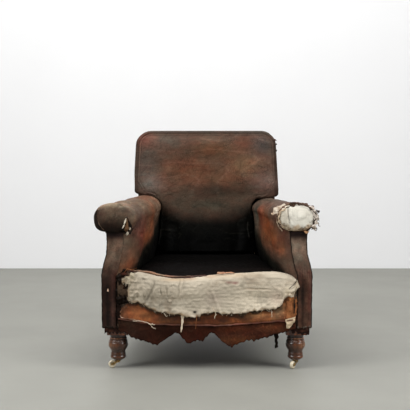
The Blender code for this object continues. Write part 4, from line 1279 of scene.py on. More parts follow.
def dome_points(side, radii, power=DOME_POWER, rows=26, sides=96):
    """A rounded pad on the front of a scroll. Rows run from the rim to the middle."""
    share = np.sin(np.linspace(0, math.pi / 2, rows))[::-1]
    turn = circle(sides)
    s = share[:, None]
    grid = lattice(side * ARM_FRONT_X + radii[0] * s * np.cos(turn),
                   PAD_BACK - SCROLL_DEPTH * (1 - s ** power) ** (1 / power),
                   SCROLL_Z + radii[1] * s * np.sin(turn))
    return grid, share, turn


def left_scroll_points(arm):
    """Grid of the left scroll's cover, its inner side carried back along the arm."""
    grid, share, turn = dome_points(-1, SCROLL_PAD)
    middle = np.array((-ARM_FRONT_X, 0.0, SCROLL_Z))
    square = squared(turn, 2.0 + 1.1 * bell(turn - 3.85, 0.55) + 0.3 * bell(turn - 2.2, 0.5))
    grid[..., 0] = middle[0] + (grid[..., 0] - middle[0]) * square
    grid[..., 2] = middle[2] + (grid[..., 2] - middle[2]) * square
    grid[..., 1] += (1 - share)[:, None] ** 0.5 * (0.001 * ripple(grid[..., ::2], 0.05, 61) + 0.0006)
    pleats = np.sin(turn * 26 + 1.2 * np.sin(turn * 3)) * bell(share - 0.93, 0.05)[:, None]
    grid[..., 1] += 0.0009 * pleats * (np.cos(turn) < 0.2)
    skirt = grid[:1].copy()
    skirt[..., 1] += 0.01
    skirt[..., ::2] = middle[::2] + (skirt[..., ::2] - middle[::2]) * 0.985
    grid = np.concatenate([skirt, grid])
    lay = Lay(arm)
    start_y = PAD_BACK + 0.003
    reach_x, reach_z = 1.06 * SCROLL_PAD[0], 1.06 * SCROLL_PAD[1]
    for j, weight in enumerate(ramp(np.cos(turn), 0.1, 0.55)):
        if weight == 0:
            continue
        out = middle + (reach_x * math.cos(turn[j]), 0, reach_z * math.sin(turn[j]))
        start = lay.nearest(out + (0, start_y, 0), 0.0022)
        for i, s in enumerate([1.02, *share]):
            ahead, behind = min(1.0, s / RUN_ON), max(0.0, (s - RUN_ON) / (1 - RUN_ON))
            if behind > 0:
                place = lay.nearest(out + (0, start_y + 0.075 * behind, 0), 0.0022 - 0.0036 * behind ** 4)
            else:
                place = middle + ahead * (start - middle)
                place[1] = PAD_BACK - SCROLL_DEPTH * (1 - ahead ** DOME_POWER) ** (1 / DOME_POWER)
            grid[i, j] = mix(grid[i, j], place, weight)
    return grid


def make_left_scroll(arm):
    """The left scroll, whose leather runs on round the inner corner into the arm's."""
    scroll = sheet_piece("scroll_cover_left", left_scroll_points(arm), wrap=True)
    weld(scroll)
    face_towards(scroll, (0, -1, 0))
    points = points_of(scroll)
    # painted shading: near black at the foot of the scroll, lighter towards its top; the pale mark at the top
    # is a painted highlight
    height = (points[:, 2] - SCROLL_Z) / SCROLL_PAD[1]
    colour = mix(np.array((0.012, 0.006, 0.0036)), np.array((0.168, 0.118, 0.08)),
                 ramp(height, -0.8, 1.75)[:, None])
    colour = spots(points, colour, [
        ((-0.385, 0.565), (0.016, 0.035), (0.065, 0.034, 0.022), 0.8),
        ((-0.36, 0.53), (0.022, 0.012), (0.026, 0.013, 0.009), 0.6),
        ((-0.37, 0.604), (0.04, 0.012), (0.3, 0.205, 0.135), 0.85),
        ((-0.3, 0.585), (0.025, 0.014), (0.08, 0.058, 0.042), 0.7)])
    run_on = smooth((points[:, 0] + ARM_FRONT_X) / SCROLL_PAD[0] * 2.2 - 0.9)[:, None]
    under = fall(points[:, 2], SCROLL_Z - 0.03, 0.018)[:, None]
    joined = mix(arm_colours(points, -1) * 1.15, colour, 0.25 * under)
    paint(scroll, mix(colour, joined, run_on))
    thicken(scroll, LEATHER)
    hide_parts("scroll_facing_left", "scroll_pad_left")
    dress(scroll, HIDE)
    return scroll


def pad_seam(x, z):
    """Distance of points on the right pad from the slanting pleat in its calico, and how far they are
    within its reach."""
    x, z = x - ARM_FRONT_X, z - SCROLL_Z
    line = x + 0.037 + 0.22 * z - 3.0 * (z + 0.01) ** 2
    return line, fall(np.abs(z - 0.004), 0.034, 0.012)


def right_pad_points():
    """Grid of the calico pad at the end of the right arm."""
    grid, share, turn = dome_points(1, RIGHT_PAD, power=2.3)
    square = squared(turn, PAD_SQUARE)
    grid[..., 0] = PAD_MIDDLE[0] + (grid[..., 0] - ARM_FRONT_X) * square
    grid[..., 2] = PAD_MIDDLE[1] + (grid[..., 2] - SCROLL_Z) * square
    line, reach = pad_seam(grid[..., 0], grid[..., 2])
    grid[..., 1] += (0.004 * bell(line, 0.0026) - 0.0026 * bell(line + 0.008, 0.006)) * reach
    gathers = np.sin(turn * 34 + 2.0 * np.sin(turn * 2)) * ramp(share, 0.62, 0.3)[:, None]
    grid[..., 1] += 0.0012 * gathers * (0.35 + ramp(SCROLL_Z - grid[..., 2], 0.012, 0.02))
    flat = grid[..., ::2]
    lumps = 0.0011 * ripple(flat, 0.03, 71) + 0.0014 * crease(flat, 0.045, 73, 0.14) + 0.002
    grid[..., 1] += lumps * (1 - share)[:, None] ** 0.4
    skirt = grid[:1].copy()
    skirt[..., 1] += 0.014
    return np.concatenate([skirt, grid])


def make_right_scroll():
    """The stuffed end of the right arm, its leather gone and the calico showing."""
    pad = sheet_piece("scroll_pad_cover_right", right_pad_points(), wrap=True)
    weld(pad)
    face_towards(pad, (0, -1, 0))
    points = points_of(pad)
    x, z = points[:, 0], points[:, 2]
    u, v = (x - PAD_MIDDLE[0]) / RIGHT_PAD[0], (z - PAD_MIDDLE[1]) / RIGHT_PAD[1]
    ring = (np.abs(u) ** PAD_SQUARE + np.abs(v) ** PAD_SQUARE) ** (1 / PAD_SQUARE)
    lower = smooth((-v - 0.45) / 0.45 + 0.25 * ripple(points[:, ::2], 0.03, 75))
    colour = blend_in(spots(points, (0.84, 0.8, 0.7), ()), (0.6, 0.39, 0.2), 0.62 * lower)
    colour = blend_in(colour, (0.17, 0.1, 0.05), 0.55 * ramp(ring, 0.93, 0.07))
    line, reach = pad_seam(x, z)
    # painted shade: greyer left of the pleat, and a dark line along it
    colour = blend_in(colour, (0.56, 0.49, 0.38), 0.6 * smooth(-line / 0.004))
    colour = blend_in(colour, (0.13, 0.095, 0.06), 0.8 * bell(line, 0.0018) * reach)
    colour = spots(points, colour, [
        ((0.345, 0.513), (0.018, 0.004), (0.2, 0.1, 0.04), 0.7),
        ((0.373, 0.518), (0.01, 0.005), (0.36, 0.17, 0.07), 0.7),
        ((0.316, 0.523), (0.008, 0.005), (0.45, 0.25, 0.12), 0.6)])
    dots = np.random.default_rng(311)
    for angle in dots.uniform(3.5, 6.1, 26):
        reach = dots.uniform(0.8, 0.95)
        at_x, at_z = PAD_MIDDLE + reach * np.array(RIGHT_PAD) * (math.cos(angle), math.sin(angle))
        near = bell(np.hypot(x - at_x, z - at_z), dots.uniform(0.0012, 0.003))
        colour = blend_in(colour, (0.12, 0.065, 0.03), 0.8 * near)
    paint(pad, colour)
    swell(pad, ramp(ring, 0.84, 0.1), 0.005)
    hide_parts("scroll_pad_right")
    dress(pad, CALICO)
    return pad


def ring_path(angles, radii, side, shift=0.0, y=-0.4325):
    """Places around a scroll's rim."""
    angles = np.radians(np.asarray(angles, float))
    radii = np.asarray(radii, float)
    x = side * ARM_FRONT_X + shift + radii * SCROLL_PAD[0] * np.cos(angles)
    z = SCROLL_Z + radii * SCROLL_PAD[1] * np.sin(angles)
    return np.column_stack([x, np.broadcast_to(y, x.shape), z])


def make_right_rim():
    """What is left of the leather and lining round the right scroll."""
    turn = np.linspace(38, 250, 90)
    wear = ripple(np.column_stack([np.cos(np.radians(turn)), np.sin(np.radians(turn))]), 0.5, 211)
    inner = ring_path(turn, 0.885 + 0.03 * wear, 1, -0.002, -0.44)
    reach = table(turn, [(38, 0.96), (60, 1.02), (130, 1.03), (200, 0.99), (250, 0.97)])
    outer = ring_path(turn, reach, 1, 0, -0.43)
    rag("torn_rim_right", inner, outer, HIDE, (0.08, 0.044, 0.027), crumple=0.0022, size=0.012,
        ragged=0.0026, seed=213, marks=[
            ((0.3, 0.608), (0.02, 0.008), (0.11, 0.062, 0.038), 0.8),
            ((0.262, 0.575), (0.01, 0.014), (0.3, 0.19, 0.12), 0.8),
            ((0.256, 0.545), (0.01, 0.012), (0.13, 0.05, 0.03), 0.7),
            ((0.285, 0.52), (0.014, 0.008), (0.33, 0.22, 0.14), 0.7),
            ((0.35, 0.606), (0.014, 0.006), (0.06, 0.034, 0.022), 0.8)])
    turn = np.linspace(120, 245, 50)
    rag("torn_lining_right", ring_path(turn, np.full(50, 0.865), 1, -0.002, -0.4425),
        ring_path(turn, np.full(50, 0.925), 1, -0.002, -0.44), CALICO, (0.5, 0.38, 0.26), thickness=0.001,
        crumple=0.0016, size=0.012, ragged=0.0022, seed=217)


def make_right_flaps(lay):
    """The hole in the leather over the right scroll, and the calico turned back beside it."""
    xs = (0.297, 0.303, 0.311, 0.317)
    # the near-black mark in the hole is painted shade
    rag("torn_hole_right", [lay.front(x, z, 0.0016, -0.44) for x, z in zip(xs, (0.6, 0.5965, 0.5965, 0.6))],
        [(x, -0.44, z) for x, z in zip(xs, (0.6065, 0.6085, 0.6085, 0.606))],
        HIDE, (0.09, 0.042, 0.022), crumple=0.0014, size=0.008,
        cells=0.0014, seed=219, marks=[
            ((0.306, 0.603), (0.005, 0.003), (0.02, 0.012, 0.008), 0.9)])
    rag("calico_flap_right",
        [(0.236, -0.412, 0.564), (0.2372, -0.402, 0.574), (0.244, -0.394, 0.589), (0.26, -0.394, 0.5985),
         (0.284, -0.402, 0.6045)],
        [(0.247, -0.424, 0.566), (0.255, -0.424, 0.573), (0.262, -0.422, 0.583), (0.273, -0.422, 0.593),
         (0.288, -0.426, 0.599)],
        CALICO, (0.52, 0.45, 0.36), thickness=0.001, crumple=0.0026, size=0.01, ragged=0.0034,
        cells=0.0014, seed=221, towards=(-1, -1, 1), marks=[
            ((0.238, 0.575), (0.006, 0.02), (0.36, 0.22, 0.13), 0.8),
            ((0.262, 0.59), (0.006, 0.008), (0.22, 0.12, 0.07), 0.7)])


def make_right_edges():
    """The rolled torn edges of the leather round the right scroll."""
    torn = []
    for seed, thick, line in TORN_EDGES:
        path = resample(line, 40)
        path[:, 0] += 0.0012 * ripple(path, 0.009, seed)
        path[:, 2] += 0.001 * ripple(path, 0.007, seed + 1)
        torn.append((path, thick * (1 + 0.45 * np.clip(ripple(path, 0.008, seed + 2), -1, 1))))
    trim("torn_edge_right", torn, HIDE, (0.03, 0.016, 0.01), [
        ((0.405, 0.56), (0.01, 0.008), (0.2, 0.13, 0.08), 0.7),
        ((0.35, 0.6), (0.01, 0.01), (0.07, 0.04, 0.024), 0.7)])


def make_right_fringe():
    """Torn calico hanging at the foot and the outer side of the right scroll."""
    rag("fringe_right", [(0.35, -0.439, 0.5085), (0.359, -0.439, 0.509), (0.368, -0.439, 0.512)],
        [(0.352, -0.442, 0.503), (0.36, -0.443, 0.4985), (0.368, -0.442, 0.502)],
        CALICO, (0.32, 0.18, 0.09), thickness=0.001, crumple=0.0024, size=0.008, ragged=0.004,
        cells=0.0014, seed=233)
    rag("torn_lining_outer_right",
        [(0.364, -0.437, 0.599), (0.38, -0.437, 0.583), (0.385, -0.437, 0.564), (0.385, -0.437, 0.54),
         (0.376, -0.437, 0.52)],
        [(0.374, -0.435, 0.5985), (0.396, -0.434, 0.585), (0.405, -0.433, 0.564), (0.405, -0.433, 0.535),
         (0.392, -0.435, 0.509)],
        CALICO, (0.88, 0.78, 0.68), thickness=0.001, crumple=0.0016, size=0.012, ragged=0.0044,
        cells=0.0015, seed=243, marks=[
            ((0.393, 0.575), (0.002, 0.01), (0.35, 0.25, 0.18), 0.7),
            ((0.396, 0.54), (0.002, 0.008), (0.42, 0.3, 0.21), 0.7),
            ((0.385, 0.52), (0.008, 0.005), (0.3, 0.19, 0.11), 0.8)])


def make_right_threads():
    """The pale cord and the frayed hair round the right scroll."""
    cream = resample([(0.264, -0.433, 0.593), (0.2536, -0.431, 0.567), (0.2521, -0.43, 0.5464),
                      (0.2583, -0.431, 0.5245), (0.274, -0.433, 0.508)], 60)
    cream[:, 0] += 0.0008 * ripple(cream, 0.012, 245)
    trim("torn_cord_right", [(cream, 0.0013 + 0.0005 * ripple(cream, 0.01, 247))], CALICO, (0.55, 0.42, 0.29),
         [((0.253, 0.556), (0.01, 0.008), (0.2, 0.11, 0.06), 0.8)])
    wisps = []
    random = np.random.default_rng(235)
    for angle in random.uniform(-70, 250, 34):
        start = ring_path([angle], [random.uniform(0.9, 0.98)], 1, -0.003, -0.44)[0]
        away = start - np.array((ARM_FRONT_X, start[1], SCROLL_Z))
        away /= np.linalg.norm(away)
        tip = start + away * random.uniform(0.002, 0.008) + random.normal(0, 0.002, 3)
        tip[0] = min(tip[0], 0.412)
        path = resample([start, (start + tip) / 2 + random.normal(0, 0.001, 3), tip], 6)
        wisps.append((path, random.uniform(0.00025, 0.00055)))
    trim("frayed_wisps_right", wisps, HAIR)


def make_left_split(lay):
    """The split beside the left scroll, with a tongue of leather and wadding in it."""
    # the split is a near-black sheet: painted shade inside it
    rag("split_left",
        [(-0.2895, 0.56), (-0.299, 0.54), (-0.306, 0.52), (-0.3075, 0.51), (-0.3, 0.499)],
        [(-0.286, 0.56), (-0.278, 0.542), (-0.2705, 0.526), (-0.2715, 0.51), (-0.279, 0.491)],
        BLACK_THREAD_AND_SHADE, (0.01, 0.006, 0.004), crumple=0.0002, ragged=0.0008, seed=241, cells=0.0016,
        thickness=0.0006, lay=lay, lift=0.0012)
    rag("leather_tongue_left",
        [(-0.2882, 0.555), (-0.2925, 0.535), (-0.2965, 0.518), (-0.295, 0.505)],
        [(-0.2868, 0.555), (-0.2835, 0.535), (-0.2825, 0.52), (-0.286, 0.506)],
        HIDE, (0.15, 0.08, 0.04), crumple=0.001, ragged=0.0008, seed=249, cells=0.0014,
        marks=[((-0.29, 0.51), (0.005, 0.006), (0.05, 0.025, 0.014), 0.8)],
        lay=lay, lift=0.0042)
    for label, x, z, radii, lean in (("upper", -0.2938, 0.544, (0.0028, 0.0026, 0.0125), 0.3),
                                     ("lower", -0.2998, 0.527, (0.002, 0.002, 0.01), 0.45),
                                     ("right", -0.279, 0.518, (0.0026, 0.0026, 0.0075), -0.2),
                                     ("foot", -0.2893, 0.499, (0.0046, 0.0034, 0.008), 0.25)):
        tuft(f"wadding_{label}_left", lay.front(x, z, 0.004, -0.431), radii, lean, WADDING, seed=257)


def make_left_seam(lay):
    """The open seam at the outer side of the left scroll, its lip, and loose threads."""
    turn = np.linspace(142, 238, 40)
    bow = np.sin(np.linspace(0, math.pi, 40)) ** 0.6
    inner = ring_path(turn, 0.99 - 0.18 * bow, -1, 0, -0.44)
    outer = ring_path(turn, np.full(40, 0.992), -1, 0, -0.433)
    for path, lift in ((inner, 0.001), (outer, 0.0006)):
        for point in path:
            point[:] = lay.front(point[0], point[2], lift, -0.433)
    # the open seam is a near-black sheet: painted shade inside it
    rag("open_seam_left", inner, outer, BLACK_THREAD_AND_SHADE, (0.01, 0.006, 0.004), crumple=0.0001, ragged=0.0003,
        seed=251, cells=0.0016, thickness=0.0006, lay=lay, lift=0.0012)
    lip = inner - (0, 0.0012, 0)
    lip[:, 0] += 0.0006 * ripple(lip, 0.01, 253)
    # the pale marks on the lip are painted highlights
    trim("seam_lip_left", [(lip, 0.001 + 0.0004 * ripple(lip, 0.01, 255))], HIDE, (0.11, 0.06, 0.038), [
        ((-0.396, 0.52), (0.01, 0.01), (0.36, 0.27, 0.2), 0.8),
        ((-0.385, 0.59), (0.01, 0.006), (0.34, 0.25, 0.18), 0.7)])
    wisps = []
    for places in ([(-0.276, 0.498), (-0.272, 0.49), (-0.2735, 0.485)], [(-0.302, 0.506), (-0.306, 0.5)],
                   [(-0.28, 0.488), (-0.283, 0.482)], [(-0.266, 0.51), (-0.264, 0.503)]):
        wisps.append((resample([lay.front(x, z, 0.0012, -0.431) for x, z in places], 8), 0.0004))
    bend = np.array([(0, 0, 0), (-0.0016, -0.0012, -0.002), (-0.003, -0.0004, -0.006)])
    for x, z in ((-0.3605, 0.47), (-0.3608, 0.452), (-0.3612, 0.436), (-0.362, 0.428)):
        wisps.append((resample(bend + (x, -0.4325, z), 6), 0.00045))
    trim("torn_threads_left", wisps, BLACK_THREAD_AND_SHADE)


# ---------------------------------------------------------------- seat, edge roll and front


# height of the seat's front edge from left to right, as (x, z)
CREST = [(-0.33, 0.352), (-0.3, 0.361), (-0.24, 0.3575), (-0.19, 0.346), (-0.12, 0.335), (-0.05, 0.337),
         (0.0, 0.343), (0.085, 0.35), (0.18, 0.356), (0.25, 0.357), (0.29, 0.35), (0.33, 0.338)]
ROLL_OUTLINE = [(-0.4275, 0.2505), (-0.4345, 0.265), (-0.438, 0.285), (-0.4388, 0.305), (-0.437, 0.324),
                (-0.432, 0.34), (-0.423, 0.3495), (-0.41, 0.3535), (-0.3962, 0.3545)]  # (y, z), from the foot
CALICO_HEM = [(-0.31, 0.322), (-0.297, 0.318), (-0.289, 0.262), (-0.284, 0.252), (-0.262, 0.246),
              (-0.25, 0.252), (-0.238, 0.244), (-0.2256, 0.238), (-0.212, 0.228), (-0.1965, 0.2216),
              (-0.176, 0.214), (-0.1492, 0.2106), (-0.125, 0.205), (-0.1019, 0.207), (-0.088, 0.201),
              (-0.0764, 0.1961), (-0.048, 0.1945), (-0.0233, 0.1961), (-0.0218, 0.207), (0.0091, 0.2088),
              (0.04, 0.2143), (0.052, 0.204), (0.062, 0.206), (0.1, 0.208), (0.142, 0.21), (0.152, 0.216),
              (0.1637, 0.218), (0.19, 0.219), (0.2201, 0.2225), (0.2474, 0.2237), (0.262, 0.232),
              (0.274, 0.24), (0.279, 0.262), (0.2947, 0.2688), (0.3165, 0.2888), (0.324, 0.305)]
CALICO_LEFT = [(0.24, -0.288), (0.3, -0.286), (0.315, -0.288), (0.322, -0.306), (0.334, -0.309),
               (0.342, -0.29), (0.352, -0.262), (0.36, -0.25)]  # (z, x)
BAND_TOP = [(-0.324, 0.222), (-0.305, 0.23), (-0.29, 0.243), (-0.25, 0.249), (0.262, 0.249), (0.272, 0.264),
            (0.3, 0.2705), (0.316, 0.27), (0.3245, 0.225)]
BAND_FOOT = [(-0.324, 0.188), (-0.3136, 0.1867), (-0.2019, 0.1681), (-0.1, 0.165), (0.01, 0.164),
             (0.03, 0.1615), (0.1455, 0.1705), (0.2736, 0.1805), (0.324, 0.185)]
VALANCE_FOOT = [(-0.322, 0.141), (-0.306, 0.136), (-0.291, 0.134), (-0.283, 0.125), (-0.276, 0.12),
                (-0.25, 0.113), (-0.218, 0.105), (-0.198, 0.097), (-0.182, 0.094), (-0.172, 0.099),
                (-0.164, 0.105), (-0.14, 0.121), (-0.113, 0.138), (-0.105, 0.135), (-0.088, 0.116),
                (-0.075, 0.099), (-0.066, 0.094), (-0.056, 0.098), (-0.047, 0.105), (-0.031, 0.109),
                (-0.015, 0.105), (0.0, 0.124), (0.018, 0.138), (0.03, 0.13), (0.055, 0.107), (0.078, 0.092),
                (0.091, 0.083), (0.104, 0.092), (0.138, 0.105), (0.15, 0.112), (0.172, 0.108), (0.2, 0.116),
                (0.225, 0.121), (0.247, 0.134), (0.291, 0.138), (0.322, 0.149)]
FRONT_THREADS = (
    ([(-0.268, 0.1815), (-0.2347, 0.182), (-0.22, 0.176), (-0.2037, 0.1681), (-0.1884, 0.1676)], 0.0011),
    ([(-0.212, 0.173), (-0.2, 0.163), (-0.1859, 0.1515)], 0.001),
    ([(-0.2037, 0.1681), (-0.196, 0.174)], 0.0007),
    ([(-0.156, 0.211), (-0.15, 0.2), (-0.1455, 0.196), (-0.142, 0.201)], 0.0008),
    ([(0.035, 0.206), (0.03, 0.196), (0.027, 0.19)], 0.0009),
    ([(0.236, 0.218), (0.237, 0.206), (0.234, 0.196)], 0.001),
    ([(0.021, 0.235), (0.031, 0.212), (0.033, 0.202)], 0.0008))
CALICO_MARKS = [
    ((-0.265, 0.3), (0.03, 0.045), (0.48, 0.405, 0.305), 0.8),
    ((-0.29, 0.335), (0.02, 0.014), (0.3, 0.22, 0.13), 0.85),
    ((-0.285, 0.285), (0.006, 0.03), (0.3, 0.2, 0.11), 0.7),
    ((-0.17, 0.235), (0.05, 0.025), (0.34, 0.3, 0.23), 0.7),
    ((-0.195, 0.262), (0.014, 0.024), (0.3, 0.25, 0.18), 0.7),
    ((0.08, 0.322), (0.013, 0.0045), (0.17, 0.075, 0.06), 0.85),
    ((0.102, 0.32), (0.012, 0.005), (0.3, 0.14, 0.12), 0.85),
    ((0.023, 0.262), (0.03, 0.03), (0.44, 0.36, 0.29), 0.7),
    ((0.16, 0.326), (0.026, 0.011), (0.21, 0.17, 0.12), 0.75),
    ((0.19, 0.344), (0.022, 0.006), (0.2, 0.17, 0.12), 0.65),
    ((0.225, 0.33), (0.01, 0.008), (0.27, 0.23, 0.17), 0.6),
    ((0.14, 0.338), (0.008, 0.005), (0.24, 0.19, 0.13), 0.6),
    ((0.13, 0.312), (0.01, 0.01), (0.22, 0.19, 0.14), 0.65),
    ((0.175, 0.2985), (0.055, 0.0025), (0.14, 0.09, 0.05), 0.8),
    ((0.255, 0.265), (0.03, 0.03), (0.46, 0.36, 0.28), 0.7),
    ((0.06, 0.345), (0.1, 0.006), (0.5, 0.37, 0.24), 0.6),
    ((0.015, 0.34), (0.02, 0.006), (0.45, 0.3, 0.2), 0.6),
    ((0.29, 0.285), (0.012, 0.02), (0.62, 0.52, 0.38), 0.7),
    ((0.262, 0.275), (0.004, 0.004), (0.1, 0.06, 0.04), 0.6),
    ((-0.12, 0.24), (0.06, 0.02), (0.42, 0.37, 0.29), 0.6),
    ((-0.115, 0.33), (0.05, 0.006), (0.44, 0.29, 0.16), 0.6),
    ((-0.06, 0.333), (0.02, 0.004), (0.34, 0.17, 0.09), 0.5),
    ((-0.1, 0.205), (0.03, 0.006), (0.25, 0.17, 0.09), 0.7),
    # painted shade: the black blot of the small hole
    ((-0.0437, 0.2135), (0.0062, 0.0042), (0.004, 0.003, 0.002), 1.6),
]


def crest(x):
    """Height of the front edge, which has sagged left of the middle."""
    return curve_table(x, CREST)


def make_seat():
    """The sunken seat, its front lip following the sagged crest."""
    share_x = np.linspace(-1, 1, 81)
    share_y = np.concatenate([np.linspace(0, 0.12, 14), np.linspace(0.13, 1, 60)])[:, None]
    y = mix(SEAT_FRONT_Y, SEAT_REAR_Y, share_y)
    x = share_x * (arm_x(y) + inside_swell(0.345, -0.0487, y) - 0.0025)
    crown = 0.006 * np.cos(share_x * math.pi / 2) * np.sin(math.pi * np.minimum(share_y * 1.2, 1))
    grid = lattice(x, y, mix(SEAT_Z + crown, crest(x) - 0.0035, 1 - ramp(y, -0.4, 0.2)))
    flat = grid[..., :2]
    lumps = 0.0016 * ripple(flat, 0.16, 81) + 0.0006 * ripple(flat, 0.045, 83)
    grid[..., 2] += smooth(share_y / 0.05) * lumps
    grid[..., 2] -= 0.004 * ramp(np.abs(share_x), 0.93, 0.07) + 0.022 * (np.abs(share_x) == 1)
    seat = sheet_piece("seat_cover", grid)
    paint_marks(seat, (0.001, 0.0008, 0.0007), [
        # the first, grey mark is a painted sheen
        ((-0.1, -0.28, 0), (0.14, 0.1, ANY_DEPTH), (0.003, 0.0025, 0.0025), 0.8),
        ((0.08, -0.33, 0), (0.16, 0.05, ANY_DEPTH), (0.004, 0.002, 0.0016), 0.8),
        ((-0.26, -0.37, 0), (0.04, 0.05, ANY_DEPTH), (0.022, 0.013, 0.009), 0.7)])
    free = fall(np.abs(share_x), 1, 0.08) * smooth(share_y / 0.05) * fall(share_y, 1, 0.06)
    swell(seat, 1 - free.reshape(-1), 0.0045)
    thicken(seat, LEATHER)
    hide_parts("seat_leather", "seat_stuffing")
    dress(seat, SEAT_HIDE)


def roll_front(x, count=34, lift=0.0):
    """Outline of the front edge roll at X: points (y, z) from its foot over the top."""
    path = np.array(ROLL_OUTLINE)
    foot, top = path[0, 1], path[-1, 1]
    path[:, 1] = foot + (path[:, 1] - foot) * (float(crest(x)) - 0.003 - foot) / (top - foot)
    path = resample(path, count)
    run = np.gradient(path, axis=0)
    run /= np.linalg.norm(run, axis=1)[:, None]
    return path + lift * np.stack([-run[:, 1], run[:, 0]], 1)


def make_edge_roll():
    """The stuffed roll along the front edge of the seat."""
    rings = []
    for at in np.linspace(-ROLL_HALF, ROLL_HALF, 110):
        loop = np.concatenate([roll_front(at, 26), [(-0.3962, 0.3), (-0.3962, 0.2505)]])
        rings.append(np.column_stack([np.full(len(loop), at), loop]))
    grid = np.array(rings)
    grid[..., 1] += 0.0012 + 0.0008 * ripple(grid, 0.03, 91)
    roll = sheet_piece("edge_roll", grid, wrap=True)
    close_ends(roll)
    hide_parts("seat_edge_roll")
    dress(roll, HAIR)


def calico_grid():
    """Grid of the calico before its folds: over the edge roll, then hanging to its ragged hem."""
    random = np.random.default_rng(7)
    x = np.linspace(-0.308, 0.324, 230)
    hem = table(x, CALICO_HEM) + wander(x, 0.013, 101) * 0.0012 + random.normal(0, 0.00035, len(x))
    columns = []
    for at, foot in zip(x, np.maximum(hem, 0.19)):
        path = roll_front(at, 40, lift=0.0026)[::-1]
        path = path[path[:, 0] <= -0.403 + 0.004 * math.sin(at * 31)]
        if foot < 0.258:
            path = path[path[:, 1] > 0.262]
            down = np.linspace(0, 1, 14)[1:]
            ending = np.column_stack([mix(path[-1, 0], -0.4378, down), mix(path[-1, 1], foot, down)])
        else:
            path = path[path[:, 1] > foot]
            ending = [(path[-1, 0] + 0.0006, foot)]
        path = resample(np.concatenate([path, ending]), CALICO_ROWS)
        columns.append(np.column_stack([np.full(CALICO_ROWS, at), path]))
    return np.stack(columns, 1)


def calico_folds(grid):
    """How far the calico stands out at each point: gathers on the left, pleats, slits and a flared hem."""
    x, z = grid[..., 0], grid[..., 2]
    flat = grid[..., ::2]
    left, far_left = fall(x, -0.06, 0.08), fall(x, -0.205, 0.02)
    out = 0.0016 * ripple(flat, 0.07, 103) + 0.0014
    out += 0.0024 * (crease(flat * (1.0, 0.45), 0.034, 105, 0.22) - 0.3) * left
    out -= 0.0013 * crease(flat * (1.0, 0.4), 0.044, 106, 0.16) * left
    out += 0.002 * (crease(flat, 0.03, 115, 0.25) - 0.4) * far_left
    out += 0.001 * (crease(flat * (0.8, 0.5), 0.035, 107, 0.16) - 0.3)
    out -= 0.0006 * crease(flat * (0.35, 1.0), 0.036, 109, 0.13) * (0.3 + 0.7 * ramp(x, 0.1, 0.05))
    fold = x + 0.205 - 0.55 * (z - 0.285)
    out += (0.0035 * bell(fold + 0.022, 0.016) - 0.006 * bell(fold, 0.006)) * fall(z, 0.325, 0.03)
    out += 0.003 * bell(x - 0.03 + 0.36 * (z - 0.26), 0.0045) * fall(z, 0.3, 0.03)
    fold = z - 0.2975 + 0.02 * (x - 0.18)
    span = ramp(x, 0.118, 0.03) * fall(x, 0.235, 0.03)
    out += (0.0014 * bell(fold + 0.005, 0.004) - 0.0016 * bell(fold - 0.002, 0.003)) * span
    seam = x + 0.0955 + 0.0034 * wander(z, 0.03, 361) - 0.1 * (z - 0.28)
    out += 0.0034 * bell(seam, 0.003) * ramp(z, 0.225, 0.05)
    out -= 0.0026 * bell(seam + 0.0085, 0.0042) * ramp(z, 0.27, 0.03)
    out -= 0.0016 * bell(seam - 0.008, 0.0042) * ramp(z, 0.29, 0.02)
    kink = z - 0.312 + 0.8 * np.abs(x + 0.122)
    out -= 0.0026 * bell(kink, 0.0024) * bell(x + 0.122, 0.014)
    out += 0.0009 * ripple(flat * (1.0, 0.6), 0.014, 363) * far_left
    out += 0.0004 * ripple(flat * (0.7, 1.0), 0.011, 365)
    out += 0.005 * bell(x + 0.255, 0.03) * bell(z - 0.295, 0.035)
    for at_x, at_z, slope in ((-0.191, 0.314, 0.1), (-0.1448, 0.29, 0.0), (-0.166, 0.286, -0.2)):
        out -= 0.006 * bell(x - at_x - slope * (z - at_z), 0.0022) * bell(z - at_z, 0.01)
    flare = fall(z - z.min(0), 0.03, 0.03)
    out += flare * (0.0016 + 0.0022 * ripple(flat * (1.0, 0.2), 0.03, 111))
    return np.clip(out, -0.0024, 0.0085)


def make_calico():
    """The linen that covered the edge roll: gathered on the left, torn off along its foot."""
    grid = calico_grid()
    z = grid[..., 2]
    calm = ramp(z.max(0) - z, -0.012, 0.03)
    out = calico_folds(grid) * calm
    grid[..., 1] = np.maximum(grid[..., 1] - out, -0.4525)
    centre = (grid[1:, 1:, ::2] + grid[:-1, :-1, ::2]) / 2
    keep = centre[..., 0] > table(centre[..., 1], CALICO_LEFT) + 0.0016 * ripple(centre, 0.008, 113)
    calico = sheet_piece("front_calico_cover", grid, keep=keep, flip=True)
    face_towards(calico, (0, -1, 0))
    valleys = fall(out, 0.0006, 0.0028) * calm
    colour_calico(calico, valleys.reshape(-1), (z - z.min(0)).reshape(-1))
    drop_loose(calico)
    thicken(calico, 0.0011, 1.0)
    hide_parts("front_calico")
    dress(calico, CALICO)
    return calico


